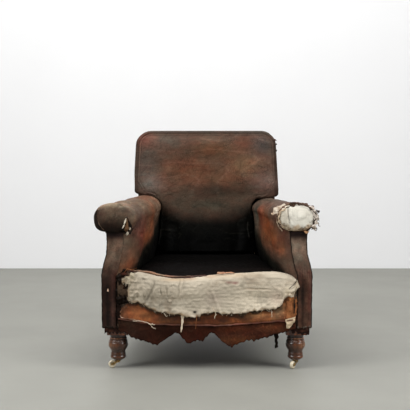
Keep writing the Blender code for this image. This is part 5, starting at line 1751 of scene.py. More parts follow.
def colour_calico(calico, valleys, above_hem):
    """Stains of the calico, with painted shade in its valleys, painted shading between the roll's top and the
    hanging cloth, and darker along its torn hem.
    """
    points = points_of(calico)
    x, z = points[:, 0], points[:, 2]
    colour = spots(points, (0.54, 0.47, 0.365), CALICO_MARKS)
    # painted shade in the valleys of the folds, a little darker at the left end, and painted shading: darker
    # over the top of the roll, lighter on the hanging cloth, most of all towards the right
    tone = (1 - 0.2 * valleys) * (0.88 + 0.12 * ramp(x, -0.16, 0.06))
    tone *= mix(0.88, 1.06 + 0.28 * ramp(x, 0.05, 0.12), fall(z, 0.335, 0.05))
    colour = colour * tone[:, None]
    flat = points[:, ::2]
    edge = smooth((0.009 + 0.004 * ripple(flat, 0.02, 117) - above_hem) / 0.009)
    colour = blend_in(colour, (0.2, 0.125, 0.06), 0.65 * edge)
    dark = smooth((0.004 * ripple(flat * (1.0, 0.3), 0.012, 119) - above_hem) / 0.003)
    paint(calico, blend_in(colour, (0.07, 0.04, 0.02), 0.7 * dark))


def band_foot(x):
    """Height of the welt between the band and the valance."""
    return curve_table(x, BAND_FOOT, 0.006)


def make_band():
    """Bare leather band over the front rail, stripped of its covering."""
    x = np.linspace(-0.3245, 0.3245, 170)
    z = np.linspace(band_foot(x) - 0.004, table(x, BAND_TOP), 26)
    flat = np.stack(np.broadcast_arrays(x, z), -1)
    lumps = 0.0006 * ripple(flat, 0.05, 121) + 0.0004 * (1 + ripple(flat * (1.0, 0.3), 0.02, 123))
    grid = lattice(x, -0.4306 - 0.45 * np.clip(z - 0.2495, 0, 1) - lumps, z)
    band = sheet_piece("front_band_cover", grid, flip=True)
    face_towards(band, (0, -1, 0))
    points = points_of(band)
    x, z, flat = points[:, 0], points[:, 2], points[:, ::2]
    colour = spots(points, (0.185, 0.055, 0.015), [
        ((-0.26, 0.215), (0.05, 0.03), (0.25, 0.08, 0.028), 0.8),
        ((-0.305, 0.2), (0.012, 0.03), (0.26, 0.115, 0.055), 0.7),
        ((-0.15, 0.192), (0.06, 0.014), (0.1, 0.034, 0.012), 0.75),
        ((-0.1, 0.205), (0.03, 0.01), (0.08, 0.034, 0.016), 0.7),
        ((0.05, 0.187), (0.08, 0.013), (0.08, 0.016, 0.002), 0.85),
        ((0.18, 0.2), (0.06, 0.012), (0.25, 0.115, 0.046), 0.85),
        ((0.26, 0.215), (0.02, 0.03), (0.29, 0.155, 0.075), 0.85),
        ((0.28, 0.18), (0.03, 0.015), (0.14, 0.05, 0.022), 0.7),
        ((0.305, 0.24), (0.01, 0.03), (0.46, 0.19, 0.066), 0.85)])
    streak = ripple(flat * (0.4, 1.0), 0.02, 367)
    # painted shadow: darker just below the calico's hem
    below_hem = table(x, CALICO_HEM) - 0.006 + 0.006 * ripple(flat * (0.5, 1.0), 0.02, 369) - z
    tone = (1 + 0.2 * np.clip(streak, -1.4, 1.4)) * (0.45 + 0.55 * smooth(below_hem / 0.01))
    colour = colour * tone[:, None] * (1 + ramp(x, 0.1, 0.12)[:, None] * (0.45, 0.6, 0.7))
    # painted highlights: glossy streaks, most on the right
    shine = crease(flat * (0.25, 1.0), 0.017, 371, 0.1) * (0.35 + 0.65 * ramp(x, -0.02, 0.1))
    colour = mix(colour, colour * 1.7 + (0.05, 0.022, 0.01), (0.55 * shine)[:, None])
    low = smooth((band_foot(x) + 0.0085 - z) / 0.004)[:, None]
    paint(band, mix(colour, colour * 0.45, 0.8 * low))
    thicken(band, 0.0018)
    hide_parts("front_band")
    dress(band, TAN_HIDE)


def make_valance():
    """The torn remains of the front valance, hanging below the rail."""
    random = np.random.default_rng(11)
    along = np.linspace(-0.3215, 0.3215, 210)
    ragged = wander(along, 0.013, 131) * 0.0022 + random.normal(0, 0.0007, len(along))
    foot = table(along, VALANCE_FOOT) + ragged
    z = np.linspace(band_foot(along) + 0.001, foot, 22)
    flat = np.stack(np.broadcast_arrays(along, z), -1)
    hang = np.clip((0.16 - z) / 0.07, 0, 1)
    y = -0.4342 - 0.0006 * ripple(flat, 0.06, 133)
    y -= 0.004 * hang * (0.5 + 0.5 * ripple(flat * (1.0, 0.15), 0.075, 135))
    y -= 0.0022 * hang * ripple(flat * (1.0, 0.2), 0.028, 137)
    valance = sheet_piece("front_valance_cover", lattice(along, np.clip(y, -0.447, -0.4315), z))
    face_towards(valance, (0, -1, 0))
    points = points_of(valance)
    x, z = points[:, 0], points[:, 2]
    colour = spots(points, (0.04, 0.0125, 0.007), [
        ((-0.27, 0.15), (0.08, 0.06), (0.026, 0.012, 0.0075), 0.85),
        ((-0.15, 0.14), (0.06, 0.05), (0.017, 0.0055, 0.003), 0.85),
        ((-0.29, 0.175), (0.05, 0.012), (0.03, 0.018, 0.011), 0.7),
        ((-0.04, 0.125), (0.05, 0.03), (0.045, 0.011, 0.006), 0.8),
        ((0.08, 0.15), (0.09, 0.014), (0.058, 0.015, 0.006), 0.85),
        ((0.11, 0.108), (0.07, 0.014), (0.1, 0.034, 0.013), 0.75),
        ((0.24, 0.155), (0.05, 0.015), (0.11, 0.036, 0.015), 0.8),
        ((0.02, 0.162), (0.02, 0.02), (0.008, 0.003, 0.002), 0.8)])
    edge = fall(z - np.interp(x, along, foot), 0.0055, 0.004)
    colour = blend_in(colour, (0.01, 0.005, 0.003), 0.6 * edge)
    # painted highlights: glossy streaks, most on the right
    painted_gloss = crease(points[:, ::2] * (0.4, 1.0), 0.02, 373, 0.11) * (0.25 + 0.75 * ramp(x, 0.02, 0.06))
    paint(valance, mix(colour, colour * 2.2 + (0.03, 0.008, 0.003), (0.5 * painted_gloss)[:, None]))
    thicken(valance, 0.0022)
    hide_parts("front_valance")
    dress(valance, DARK_HIDE)


def make_front_welt():
    """The welt under the band, and the rolled lip of leather along the crest."""
    x = np.linspace(-0.322, 0.3215, 160)
    line = np.column_stack([x, np.full(len(x), -0.435), band_foot(x)])
    line[:, 1] -= 0.0006 * ripple(line, 0.05, 151)
    line[:, 2] += 0.0008 * ripple(line, 0.03, 152)
    trim("front_welt", [(line, 0.0026 + 0.0005 * ripple(line, 0.02, 153))], TAN_HIDE, (0.115, 0.036, 0.02), [
        ((-0.26, 0), (0.07, ANY_DEPTH), (0.06, 0.026, 0.015), 0.9),
        ((0.05, 0), (0.07, ANY_DEPTH), (0.2, 0.085, 0.06), 0.8),
        ((-0.02, 0), (0.03, ANY_DEPTH), (0.18, 0.075, 0.05), 0.6)])
    x = np.linspace(-0.268, -0.06, 60)
    lip = np.column_stack([x, -0.4115 - 0.003 * np.sin((x + 0.2) * 22), crest(x) + 0.003])
    lip[:, 2] += 0.001 * ripple(lip, 0.03, 155)
    width = np.interp(x, [-0.268, -0.25, -0.17, -0.115, -0.06], [0.0012, 0.0036, 0.0042, 0.0028, 0.001])
    width = width * (1 + 0.12 * ripple(lip, 0.012, 156))
    trim("rolled_leather_lip", [(lip, width)], TAN_HIDE, (0.25, 0.15, 0.092), [
        ((-0.215, 0.348), (0.03, 0.02), (0.21, 0.115, 0.068), 0.7),
        ((-0.1, 0.34), (0.03, 0.02), (0.16, 0.075, 0.045), 0.7)])


def make_crest_scraps():
    """Torn leather and calico along the crest of the edge roll and at its left corner."""
    rag("seat_leather_edge",
        [(-0.285, -0.405, 0.364), (-0.2, -0.404, 0.35), (-0.1, -0.404, 0.34), (0.0, -0.404, 0.3445)],
        [(-0.28, -0.418, 0.36), (-0.2, -0.42, 0.344), (-0.1, -0.419, 0.3345), (0.0, -0.414, 0.343)],
        TAN_HIDE, (0.055, 0.018, 0.01), crumple=0.001, seed=161,
        towards=(0, 0, 1))
    rag("tan_scrap_middle",
        [(0.038, -0.412, 0.356), (0.05, -0.413, 0.358), (0.07, -0.413, 0.3555), (0.1, -0.413, 0.354)],
        [(0.036, -0.419, 0.3505), (0.052, -0.42, 0.3515), (0.072, -0.42, 0.3525), (0.101, -0.419, 0.353)],
        TAN_HIDE, (0.4, 0.2, 0.11), crumple=0.0008, seed=163)
    rag("corner_leather_left",
        [(-0.329, -0.423, 0.37), (-0.329, -0.436, 0.34), (-0.329, -0.437, 0.29), (-0.329, -0.434, 0.235)],
        [(-0.288, -0.415, 0.368), (-0.29, -0.436, 0.347), (-0.28, -0.437, 0.295), (-0.286, -0.4345, 0.247)],
        DARK_HIDE, (0.009, 0.005, 0.003), crumple=0.0042, size=0.014, seed=165, marks=[
            ((-0.306, 0.308), (0.005, 0.01), (0.075, 0.028, 0.012), 0.8),
            ((-0.3, 0.352), (0.012, 0.004), (0.07, 0.022, 0.012), 0.7),
            ((-0.318, 0.3), (0.004, 0.01), (0.05, 0.034, 0.026), 0.8),
            ((-0.306, 0.28), (0.008, 0.005), (0.06, 0.036, 0.022), 0.7)])
    rag("calico_wing_left",
        [(-0.308, -0.4395, 0.331), (-0.296, -0.44, 0.339), (-0.28, -0.439, 0.348), (-0.262, -0.434, 0.356)],
        [(-0.304, -0.44, 0.316), (-0.293, -0.442, 0.313), (-0.278, -0.443, 0.319), (-0.262, -0.443, 0.333)],
        CALICO, (0.42, 0.36, 0.26), thickness=0.001, crumple=0.0026, size=0.012, ragged=0.0034, cells=0.0014,
        seed=167, marks=[
            ((-0.303, 0.325), (0.006, 0.008), (0.24, 0.17, 0.1), 0.8),
            ((-0.285, 0.345), (0.012, 0.004), (0.26, 0.19, 0.11), 0.8)])
    rag("calico_fold_right",
        [(0.293, -0.444, 0.273), (0.304, -0.445, 0.29), (0.316, -0.443, 0.308), (0.327, -0.438, 0.329)],
        [(0.308, -0.44, 0.266), (0.318, -0.441, 0.28), (0.325, -0.44, 0.296), (0.336, -0.437, 0.306)],
        CALICO, (0.6, 0.5, 0.37), thickness=0.001, crumple=0.003, size=0.014, ragged=0.002, seed=169,
        marks=[((0.312, 0.288), (0.002, 0.02), (0.22, 0.13, 0.07), 0.8)])
    # painted shade: a near-black line along the fold at the calico's right end
    line = resample([(0.3245, -0.44, 0.326), (0.315, -0.445, 0.315), (0.306, -0.4465, 0.307),
                     (0.297, -0.4455, 0.299)], 16)
    trim("crease_shade_right", [(line, np.interp(np.arange(16), [0, 6, 15], [0.0016, 0.0011, 0.0005]))], BLACK_THREAD_AND_SHADE)


def make_calico_hole(calico):
    """The small hole near the foot of the calico, near black with painted shade."""
    lay = Lay(calico)
    shrink = np.linspace(1, 0.05, 5)[:, None]
    turn = circle(20)
    hole_x, hole_z = -0.0437, 0.2135
    disc = lattice(hole_x + 0.0031 * shrink * np.cos(turn), 0.0, hole_z + 0.0022 * shrink * np.sin(turn))
    for point in disc.reshape(-1, 3):
        point[:] = lay.front(point[0], point[2], 0.0008, -0.445)
    hole = sheet_piece("calico_hole", disc, wrap=True)
    face_towards(hole, (0, -1, 0))
    dress(hole, BLACK_THREAD_AND_SHADE)


def make_band_scraps():
    """Scraps and strips left on the band at its two ends, and what hangs from it."""
    rag("cream_patch_right", [(0.285, -0.4375, 0.186), (0.2868, -0.4385, 0.169), (0.289, -0.437, 0.153)],
        [(0.3235, -0.4365, 0.196), (0.318, -0.4375, 0.176), (0.3, -0.4365, 0.1525)],
        CALICO, (0.58, 0.45, 0.3), thickness=0.001, crumple=0.0016, size=0.014, seed=171)
    rag("flesh_strip_right", [(0.287, -0.433, 0.266), (0.289, -0.435, 0.24), (0.288, -0.4355, 0.188)],
        [(0.326, -0.43, 0.27), (0.328, -0.434, 0.24), (0.323, -0.434, 0.186)],
        FLESH, (0.2, 0.08, 0.03), crumple=0.0016, size=0.02, seed=173)
    # the slit is a near-black sheet: painted shade inside it
    rag("flesh_slit_right", [(0.315, -0.4372, 0.26), (0.316, -0.4378, 0.23), (0.315, -0.4376, 0.208)],
        [(0.319, -0.4368, 0.259), (0.32, -0.4376, 0.23), (0.318, -0.4374, 0.2085)],
        BLACK_THREAD_AND_SHADE, (0.005, 0.003, 0.002), crumple=0.0004, ragged=0.0006, seed=175, cells=0.0015)
    rim = resample([(-0.29, -0.4352, 0.233), (-0.305, -0.4352, 0.227), (-0.314, -0.435, 0.215),
                    (-0.316, -0.435, 0.203), (-0.312, -0.4352, 0.193), (-0.298, -0.4354, 0.19),
                    (-0.27, -0.4354, 0.186), (-0.245, -0.4354, 0.183)], 60)
    rim[:, 2] += 0.0008 * ripple(rim, 0.01, 345)
    trim("band_rim_left", [(rim, 0.0013 + 0.0005 * ripple(rim, 0.01, 347))], TAN_HIDE, (0.17, 0.068, 0.034), [
        ((-0.309, 0.193), (0.008, 0.006), (0.62, 0.46, 0.34), 0.9),
        ((-0.27, 0.186), (0.01, 0.006), (0.4, 0.24, 0.15), 0.8),
        ((-0.314, 0.212), (0.006, 0.006), (0.34, 0.17, 0.09), 0.7)])
    rag("dark_end_left", [(-0.3265, -0.434, 0.242), (-0.327, -0.4348, 0.215), (-0.327, -0.4346, 0.17)],
        [(-0.308, -0.4346, 0.236), (-0.3155, -0.4352, 0.213), (-0.313, -0.4352, 0.17)],
        DARK_HIDE, (0.012, 0.006, 0.004), crumple=0.0014, size=0.014, ragged=0.0016, seed=349)
    rag("hanging_strip", [(0.246, -0.41, 0.15), (0.249, -0.409, 0.105), (0.25, -0.409, 0.074)],
        [(0.264, -0.409, 0.15), (0.262, -0.4085, 0.105), (0.26, -0.4085, 0.078)],
        DARK_HIDE, (0.012, 0.008, 0.006), crumple=0.0014, ragged=0.0022, seed=179)
    rag("cloth_strip_middle", [(-0.0925, -0.44, 0.201), (-0.093, -0.4405, 0.175), (-0.0955, -0.442, 0.14)],
        [(-0.082, -0.44, 0.2), (-0.085, -0.4405, 0.175), (-0.0925, -0.442, 0.1405)],
        THREAD, (0.62, 0.52, 0.4), thickness=0.0008, crumple=0.001, size=0.01, ragged=0.0008,
        cells=0.0014, seed=181)


def make_hem_fringe():
    """Dark stuffing and torn leather showing under the ragged foot of the calico, also standing for the shade
    under it.
    """
    x = np.linspace(-0.286, 0.276, 260)
    reach = 0.0035 + 0.0045 * np.clip(wander(x, 0.02, 191), -0.6, 1.6) + 0.0013 * wander(x, 0.0065, 192)
    reach += 0.008 * bell(x + 0.235, 0.04) + 0.003 * bell(x + 0.15, 0.03)
    reach += 0.003 * bell(x - 0.15, 0.05) - 0.004 * bell(x + 0.045, 0.03)
    share = np.linspace(0, 1, 6)[:, None]
    y = -0.4352 - 0.0006 * ripple(np.stack(np.broadcast_arrays(x, share), -1), 0.01, 193)
    z = table(x, CALICO_HEM) + 0.01 * (1 - share) - np.clip(reach, 0.0004, 0.02) * share
    fringe = sheet_piece("torn_hem_lining_and_shade", lattice(x, y, z))
    face_towards(fringe, (0, -1, 0))
    thicken(fringe, 0.001)
    dress(fringe, HAIR)


def strand(places, lift, wobble=0.0012, seed=1, count=14):
    """A thread through (x, z) places, standing off the front by lift."""
    path = resample(np.array([(x, lift, z) for x, z in places]), count)
    path[:, 1] += 0.0015 * ripple(path, 0.012, seed)
    path[:, 0] += wobble * ripple(path + 3.0, 0.014, seed + 1)
    path[:, 2] += wobble * ripple(path + 7.0, 0.014, seed + 2)
    return path


def make_front_threads():
    """Loose threads hanging from the calico and lying on the band."""
    random = np.random.default_rng(17)
    thick = []
    for places, radius in FRONT_THREADS:
        thick.append((strand(places, -0.4415, seed=len(thick) + 201), radius))
    for _ in range(34):
        start = random.uniform(-0.28, 0.27)
        drop = random.uniform(0.003, 0.012)
        foot = float(table(start, CALICO_HEM)) + 0.002
        lean = random.normal(0, 0.004)
        places = [(start, foot), (start + lean * 0.5, foot - drop * 0.5), (start + lean, foot - drop)]
        path = strand(places, -0.44, 0.0006, len(thick) + 201, 7)
        thick.append((path, random.uniform(0.00025, 0.0005)))
    trim("loose_threads", thick, THREAD)
    trim("brown_threads", [
        (strand([(-0.0367, 0.202), (-0.038, 0.175), (-0.0418, 0.1535)], -0.4418, seed=231), 0.0008),
        (strand([(-0.295, 0.37), (-0.275, 0.364), (-0.255, 0.37)], -0.418, seed=235), 0.0006),
        (strand([(-0.31, 0.352), (-0.29, 0.366), (-0.265, 0.368)], -0.42, seed=238), 0.0007)], FLESH)


# ---------------------------------------------------------------- outside back


def make_outside_back():
    """The plain leather panel on the rear, nailed all round."""
    corner = BACK_TOP - 0.0015 - (BACK_CORNER - 0.0015) * (1 - np.sin(np.linspace(0.05, math.pi / 2, 14)))
    z = np.concatenate([np.linspace(0.1565, 0.598, 60), np.linspace(0.6025, 0.82, 34), corner])[:, None]
    share = np.linspace(-1, 1, 90)
    half = mix(0.306, back_outline_half(np.maximum(z, 0.63)) - 0.002, ramp(z, 0.596, 0.014))
    grid = lattice(share * half, stile_y(z) + 0.0173, z)
    flat = grid[..., ::2]
    inside = fall(np.abs(grid[..., 0]), 0.168, 0.05) * ramp(z, 0.16, 0.05) * fall(z, 0.8, 0.05)
    grid[..., 1] -= inside * (0.0035 + 0.0016 * ripple(flat, 0.16, 141) + 0.0007 * ripple(flat, 0.05, 143))
    panel = sheet_piece("outside_back_cover", grid)
    face_towards(panel, (0, 1, 0))
    points = points_of(panel)
    colour = spots(points, (0.07, 0.04, 0.028), [
        ((-0.12, 0.66), (0.12, 0.1), (0.11, 0.062, 0.042), 0.8),
        ((0.15, 0.5), (0.12, 0.12), (0.09, 0.044, 0.028), 0.8),
        ((-0.18, 0.34), (0.1, 0.09), (0.05, 0.028, 0.02), 0.8),
        ((0.1, 0.24), (0.16, 0.06), (0.04, 0.022, 0.016), 0.8),
        ((0.22, 0.8), (0.08, 0.05), (0.055, 0.038, 0.03), 0.8),
        ((0.0, 0.86), (0.3, 0.02), (0.06, 0.045, 0.036), 0.7)])
    flat = points[:, ::2]
    border = ramp(np.abs(np.tile(share, len(z))), 0.955, 0.03) + ramp(points[:, 2], 0.868, 0.008)
    worn = np.clip(border, 0, 1) * np.clip(0.45 + 0.5 * ripple(flat, 0.05, 381), 0, 1)
    colour = blend_in(colour, (0.15, 0.074, 0.042), 0.55 * worn)
    drawn = crease(flat * (1.0, 0.35), 0.09, 383, 0.05) * inside.reshape(-1)
    paint(panel, colour * (1 - 0.35 * drawn)[:, None])
    thicken(panel, LEATHER)
    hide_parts("outside_back_leather")
    dress(panel, HIDE)
    edge = [(0.296, at) for at in np.arange(0.17, 0.595, BACK_NAIL_STEP)]
    high = np.arange(0.618, 0.825, BACK_NAIL_STEP)
    edge += list(zip(back_outline_half(high) - 0.012, high))
    edge += [(0.24 + 0.048 * math.cos(a), 0.823 + 0.048 * math.sin(a)) for a in (0.35, 0.85, 1.3)]
    places = [(sign * x, at) for x, at in edge for sign in (-1, 1)]
    places += [(x, 0.871) for x in np.arange(-0.2295, 0.24, BACK_NAIL_STEP)]
    places += [(x, 0.166) for x in np.arange(-0.2677, 0.28, BACK_NAIL_STEP)]
    row = [((x, stile_y(at) + 0.0172, at), (0, 1, -0.08)) for x, at in places]
    nails("outside_back_nails", row, NAIL_METAL)


# ---------------------------------------------------------------- castors, legs, webbing and carried parts


# the legs' turning: (height, radius) from the foot up
LEG_TURNING = [(0.0303, 0.0142), (0.032, 0.018), (0.0342, 0.0222), (0.0368, 0.0257), (0.0395, 0.028),
               (0.0428, 0.0291), (0.0455, 0.0287), (0.0476, 0.0276), (0.0492, 0.0272), (0.052, 0.0273),
               (0.056, 0.0269), (0.06, 0.0256), (0.065, 0.0262), (0.07, 0.029), (0.076, 0.033),
               (0.082, 0.0355), (0.087, 0.0362), (0.092, 0.0357), (0.0962, 0.0345), (0.0976, 0.0333),
               (0.099, 0.0342), (0.1008, 0.0346), (0.1022, 0.0332), (0.1036, 0.0318), (0.1052, 0.033),
               (0.1066, 0.0322), (0.1076, 0.03), (0.109, 0.0304), (0.1104, 0.032), (0.1124, 0.0323),
               (0.114, 0.0312), (0.1152, 0.0292), (0.119, 0.0292), (0.1208, 0.0306), (0.1276, 0.0308)]
CARRIED = {
    "front_leg_": OAK, "rear_leg_": OAK, "arm_post_": OAK, "front_seat_rail": BEECH,
    "rear_seat_rail": BEECH, "side_seat_rail_": BEECH, "arm_rail_": BEECH, "arm_tack_rail_": BEECH,
    "back_top_rail": BEECH, "back_tack_rail": BEECH, "castor_cup_": BRASS, "castor_fork_": BRASS,
    "seat_spring_": STEEL,
}


def make_wheel(name):
    """A porcelain castor wheel with rounded rims and a dished face, about the CAD wheel's axle."""
    low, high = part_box(f"castor_wheel_{name}")
    centre = (low + high) / 2
    cloud = points_of(NODES[f"castor_wheel_{name}"]) - np.array(centre)
    axis = np.linalg.svd(cloud - cloud.mean(0), full_matrices=False)[2][-1]
    axle = Vector((float(axis[0]), float(axis[1]), 0)).normalized()
    half = WHEEL_WIDTH / 2
    profile = [(0.0028, half - 0.0022), (0.0052, half - 0.002), (0.008, half - 0.0006), (0.01, half),
               (0.0122, half - 0.0006), (0.0136, half - 0.0024), (WHEEL_RADIUS, half - 0.0042)]
    profile = np.array(profile + [(r, -h) for r, h in profile[::-1]])[:, None]
    up = Vector((0, 0, 1))
    turn = circle(48)[:, None]
    rim = np.cos(turn) * np.array(axle.cross(up)) + np.sin(turn) * np.array(up)
    grid = np.array(centre) + profile[..., 1:] * np.array(axle) + rim * profile[..., :1]
    wheel = sheet_piece(f"porcelain_wheel_{name}", grid, wrap=True)
    weld(wheel)
    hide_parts(f"castor_wheel_{name}")
    dress(wheel, PORCELAIN, body=f"wheel_{name}")


def make_turned_legs():
    """The turned part of the front legs, with its beads and bulb."""
    heights = np.linspace(LEG_TURNING[0][0], LEG_TURNING[-1][0], 150)
    radii = table(heights, LEG_TURNING)
    radii[1:-1] = (radii[:-2] + radii[1:-1] * 2 + radii[2:]) / 4
    around = bell(np.arange(-14, 15), 7.0)
    broad = np.convolve(np.pad(radii, 14, mode="edge"), around / around.sum(), mode="valid")
    proud = np.clip((radii - broad) / 0.0012, -1, 1)
    turn = circle(60)
    for name, side in SIDES.items():
        low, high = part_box(f"front_leg_{name}")
        middle = (low + high) / 2
        grid = lattice(middle[0] + radii[:, None] * np.cos(turn), middle[1] + radii[:, None] * np.sin(turn),
                       heights[:, None])
        leg = sheet_piece(f"turned_leg_{name}", grid, wrap=True)
        if sum((p.center.x - middle[0]) * p.normal.x for p in leg.data.polygons) < 0:
            leg.data.flip_normals()
        places = points_of(leg)
        bead = np.repeat(proud, len(turn))
        x, y = middle[:2]
        # painted highlights on the bulb and beads at the front and outer side, and a dark band at the top of
        # the turning
        colour = spots(places, (0.094, 0.028, 0.008), [
            ((x + 0.03 * side, y - 0.02, 0.088), (0.02, 0.03, 0.012), (0.24, 0.105, 0.044), 0.7),
            ((x + 0.02 * side, y - 0.02, 0.112), (0.03, 0.03, 0.004), (0.26, 0.12, 0.055), 0.6),
            ((x, y, 0.124), (ANY_DEPTH, ANY_DEPTH, 0.006), (0.04, 0.012, 0.006), 0.8)])
        # painted highlights on the bead crests and shade in the grooves, and painted shade on the side
        # towards the chair's middle, the left leg darker
        outward = side * (places[:, 0] - middle[0]) / 0.036
        tone = 1 + 0.75 * np.clip(bead, 0, 1) - 0.85 * np.clip(-bead, 0, 1)
        tone *= (0.86 if side < 0 else 0.97) * (0.45 + 0.55 * ramp(outward, -0.75, 0.95))
        paint(leg, colour * tone[:, None])
        dress(leg, TURNED_OAK)


def middle_of(name, axis):
    """Where the middle of a CAD piece lies along an axis."""
    low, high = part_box(name)
    return float(low[axis] + high[axis]) / 2


def make_strap(name, number, at, crossings, first, last, long_way):
    """One jute strap, going over and under the straps it crosses."""
    run = np.arange(first, last + 0.002, 0.004)
    run = (first + (run - first) * (last - first) / (run[-1] - first))[:, None]
    over = 0
    for k, crossing in enumerate(crossings):
        sign = 1 if (k + number + long_way) % 2 else -1
        over = over + sign * np.exp(-(np.abs(run - crossing) / 0.034) ** 4)
    across = np.linspace(-1, 1, 15)
    wide = at + across * (STRAP_HALF - 0.0004) + 0.0007 * wander(run, 0.03, 381 + 3 * number + long_way)
    free = ramp(run - first, 0.03, 0.05) * smooth((last - 0.03 - run) / 0.05) * (1 - np.abs(over))
    sag = (0.0004 * wander(run, 0.05, 391 + number) - 0.0016) * free
    z = middle_of("seat_webbing", 2) + 0.0008 * over + sag - 0.0004 * across ** 2 * free
    strap = sheet_piece(name, lattice(wide, run, z) if long_way else lattice(run, wide, z))
    face_towards(strap, (0, 0, 1))
    line = bell(np.abs(np.tile(across, len(run))) - 0.62, 0.07)
    tone = blend_in(spots(points_of(strap), (0.3, 0.205, 0.105), ()), (0.085, 0.05, 0.028), 0.75 * line)
    paint_marks(strap, tone, [
        ((0.1, 0.2, 0.15), (0.15, 0.12, 1), (0.15, 0.1, 0.055), 0.6),
        ((-0.2, -0.1, 0.15), (0.1, 0.15, 1), (0.2, 0.13, 0.07), 0.6)])
    thicken(strap, 0.0013, 0.0)
    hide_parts("seat_webbing")
    dress(strap, JUTE)


def make_webbing():
    """Jute straps under the seat, woven over and under each other, their ends tacked to the rails."""
    low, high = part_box("seat_webbing")
    rows_y = [middle_of(f"seat_spring_{k}2", 1) for k in (1, 2, 3)]
    columns_x = [middle_of(f"seat_spring_2{k}", 0) for k in (1, 2, 3)]
    tacks = []
    for long_way, places, crossings in ((True, columns_x, rows_y), (False, rows_y, columns_x)):
        for number, at in enumerate(places):
            reach = arm_x(at) + 0.036
            first, last = (float(low[1]), float(high[1])) if long_way else (-reach, reach)
            name = f"webbing_{'long' if long_way else 'cross'}_{number + 1}"
            make_strap(name, number, at, crossings, first, last, long_way)
            for along in (first + 0.01, last - 0.01):
                for across in (at - 0.019, at, at + 0.019):
                    place = (across, along) if long_way else (along, across)
                    tacks.append(((*place, middle_of("seat_webbing", 2) - 0.001), (0, 0, -1)))
    nails("webbing_tacks", tacks, STEEL)


def make_canvas():
    """The hessian laid over the springs, under the stuffing."""
    low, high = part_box("spring_canvas")
    y = np.linspace(float(low[1]), float(high[1]), 90)[:, None]
    half = float(high[0]) - ARM_SPLAY * (y - y[0]) - 0.001
    x = np.linspace(-1, 1, 70) * half + 0.0008 * wander(y, 0.02, 401)
    grid = lattice(x, y, middle_of("spring_canvas", 2))
    grid[..., 2] += 0.0001 + 0.0003 * np.clip(ripple(grid[..., :2], 0.04, 403), -1.2, 1.2)
    canvas = sheet_piece("spring_canvas_cover", grid)
    face_towards(canvas, (0, 0, 1))
    paint_marks(canvas, (0.24, 0.165, 0.09), [
        ((-0.08, 0.1, 0.29), (0.1, 0.12, 1), (0.15, 0.095, 0.05), 0.8),
        ((0.14, -0.15, 0.29), (0.08, 0.1, 1), (0.17, 0.11, 0.06), 0.7)])
    thicken(canvas, 0.001, 0.0)
    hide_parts("spring_canvas")
    dress(canvas, HESSIAN)


def dress_carried():
    """Better materials and softened edges on the CAD nodes that stay."""
    for name, node in NODES.items():
        for start, material in CARRIED.items():
            if name.startswith(start) and not node.hide_render:
                node.data.materials.clear()
                node.data.materials.append(material)
        if name.startswith(("front_leg_", "castor_cup_")):
            node.data.shade_smooth()
            node.data.set_sharp_from_angle(angle=math.radians(50))


# ---------------------------------------------------------------- stage, lights and camera


def clear_behind(shader):
    """Makes the back of a stage surface see-through, so that views from behind or below still show the
    chair."""
    behind = shader.add("NewGeometry").outputs["Backfacing"]
    clear = shader.add("BsdfTransparent").outputs[0]
    joined = shader.add("MixShader", {0: behind, 1: shader.surface.outputs[0], 2: clear}).outputs[0]
    shader.tree.links.new(joined, shader.tree.nodes["Material Output"].inputs["Surface"])


def stage_piece(name, corners, colour, grain, unevenness, roughness, specular):
    """A plain painted surface of the stage, with slight clouds in its tone."""
    piece = mesh_piece(name, corners, [(0, 1, 2, 3)])
    s = Shader(name, roughness=roughness, specular=specular)
    s.set("Base Color", s.scale_colour(colour, s.span(s.noise(*grain), 0.3, 0.7, *unevenness)))
    clear_behind(s)
    piece.data.materials.append(s.material)
    return piece


def make_stage():
    """The floor and the wall behind the chair."""
    floor = stage_piece("studio_floor", [(-7, -6, 0), (7, -6, 0), (7, 8, 0), (-7, 8, 0)],
                        (0.252, 0.25, 0.222), (3.0, 4), (0.96, 1.04), 0.55, 0.3)
    wall = stage_piece("studio_wall", [(-7, WALL_Y, 0), (7, WALL_Y, 0), (7, WALL_Y, 5), (-7, WALL_Y, 5)],
                       (0.775, 0.775, 0.782), (1.0, 3), (0.985, 1.01), 0.9, 0.1)


def area_light(name, place, aim, size, power):
    """A rectangular light turned towards a point."""
    data = bpy.data.lights.new(name, "AREA")
    data.shape = "RECTANGLE"
    data.size, data.size_y = size
    data.energy = power
    light = new_object(name, data)
    light.location = place
    light.rotation_euler = (Vector(aim) - Vector(place)).to_track_quat("-Z", "Y").to_euler()


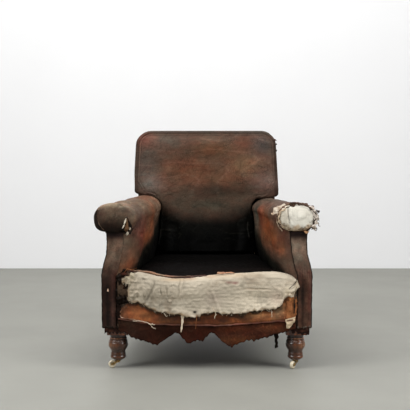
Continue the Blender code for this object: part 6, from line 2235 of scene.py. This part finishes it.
def make_lights():
    """A soft studio: two sides, one overhead and a wash on the wall."""
    scene = bpy.context.scene
    scene.view_settings.view_transform = "Standard"
    world = bpy.data.worlds.new("studio")
    world.use_nodes = True
    background = world.node_tree.nodes["Background"].inputs
    background["Color"].default_value = (1.0, 1.0, 1.0, 1)
    background["Strength"].default_value = 0.1
    scene.world = world
    area_light("overhead", (-0.5, -0.7, 3.3), (0, 0.1, 0.4), (3.0, 2.2), 85)
    area_light("side_right", (3.2, -1.9, 2.6), (0, -0.1, 0.45), (2.0, 1.8), 125)
    area_light("side_left", (-3.2, -2.1, 2.7), (0, -0.1, 0.45), (2.0, 1.8), 115)
    area_light("wall_wash", (0, 0.9, 3.8), (0, WALL_Y, 1.2), (6.0, 0.8), 66)


def make_camera():
    """The photo's viewpoint: straight on, a little above the arms, looking slightly down."""
    data = bpy.data.cameras.new("camera")
    data.lens = LENS
    data.sensor_width = SENSOR
    camera = new_object("camera", data)
    camera.location = CAMERA_PLACE
    camera.rotation_euler = (math.radians(90 - CAMERA_TILT), 0, 0)
    bpy.context.scene.camera = camera


# ---------------------------------------------------------------- build

make_back()
make_back_nubs()
arms = {name: make_arm(name, side) for name, side in SIDES.items()}
facings = {}
for side_name, side_sign in SIDES.items():
    make_outside_arm(side_name, side_sign)
    make_stile_cover(side_name, side_sign)
    facings[side_name] = make_facing(side_name, side_sign)
    if side_name == "left":
        make_chip()
    trim_facing(side_name, side_sign)
left_scroll = make_left_scroll(arms["left"])
left_front = Lay(left_scroll, facings["left"], arms["left"])
make_left_split(left_front)
make_left_seam(left_front)
right_front = Lay(make_right_scroll())
make_right_rim()
make_right_flaps(right_front)
make_right_edges()
make_right_fringe()
make_right_threads()
make_seat()
make_edge_roll()
front_calico = make_calico()
make_band()
make_valance()
make_front_welt()
make_crest_scraps()
make_calico_hole(front_calico)
make_band_scraps()
make_hem_fringe()
make_front_threads()
make_outside_back()
for corner in ("front_left", "front_right", "rear_left", "rear_right"):
    make_wheel(corner)
make_turned_legs()
make_webbing()
make_canvas()
dress_carried()
make_stage()
make_lights()
make_camera()
bpy.context.view_layer.update()
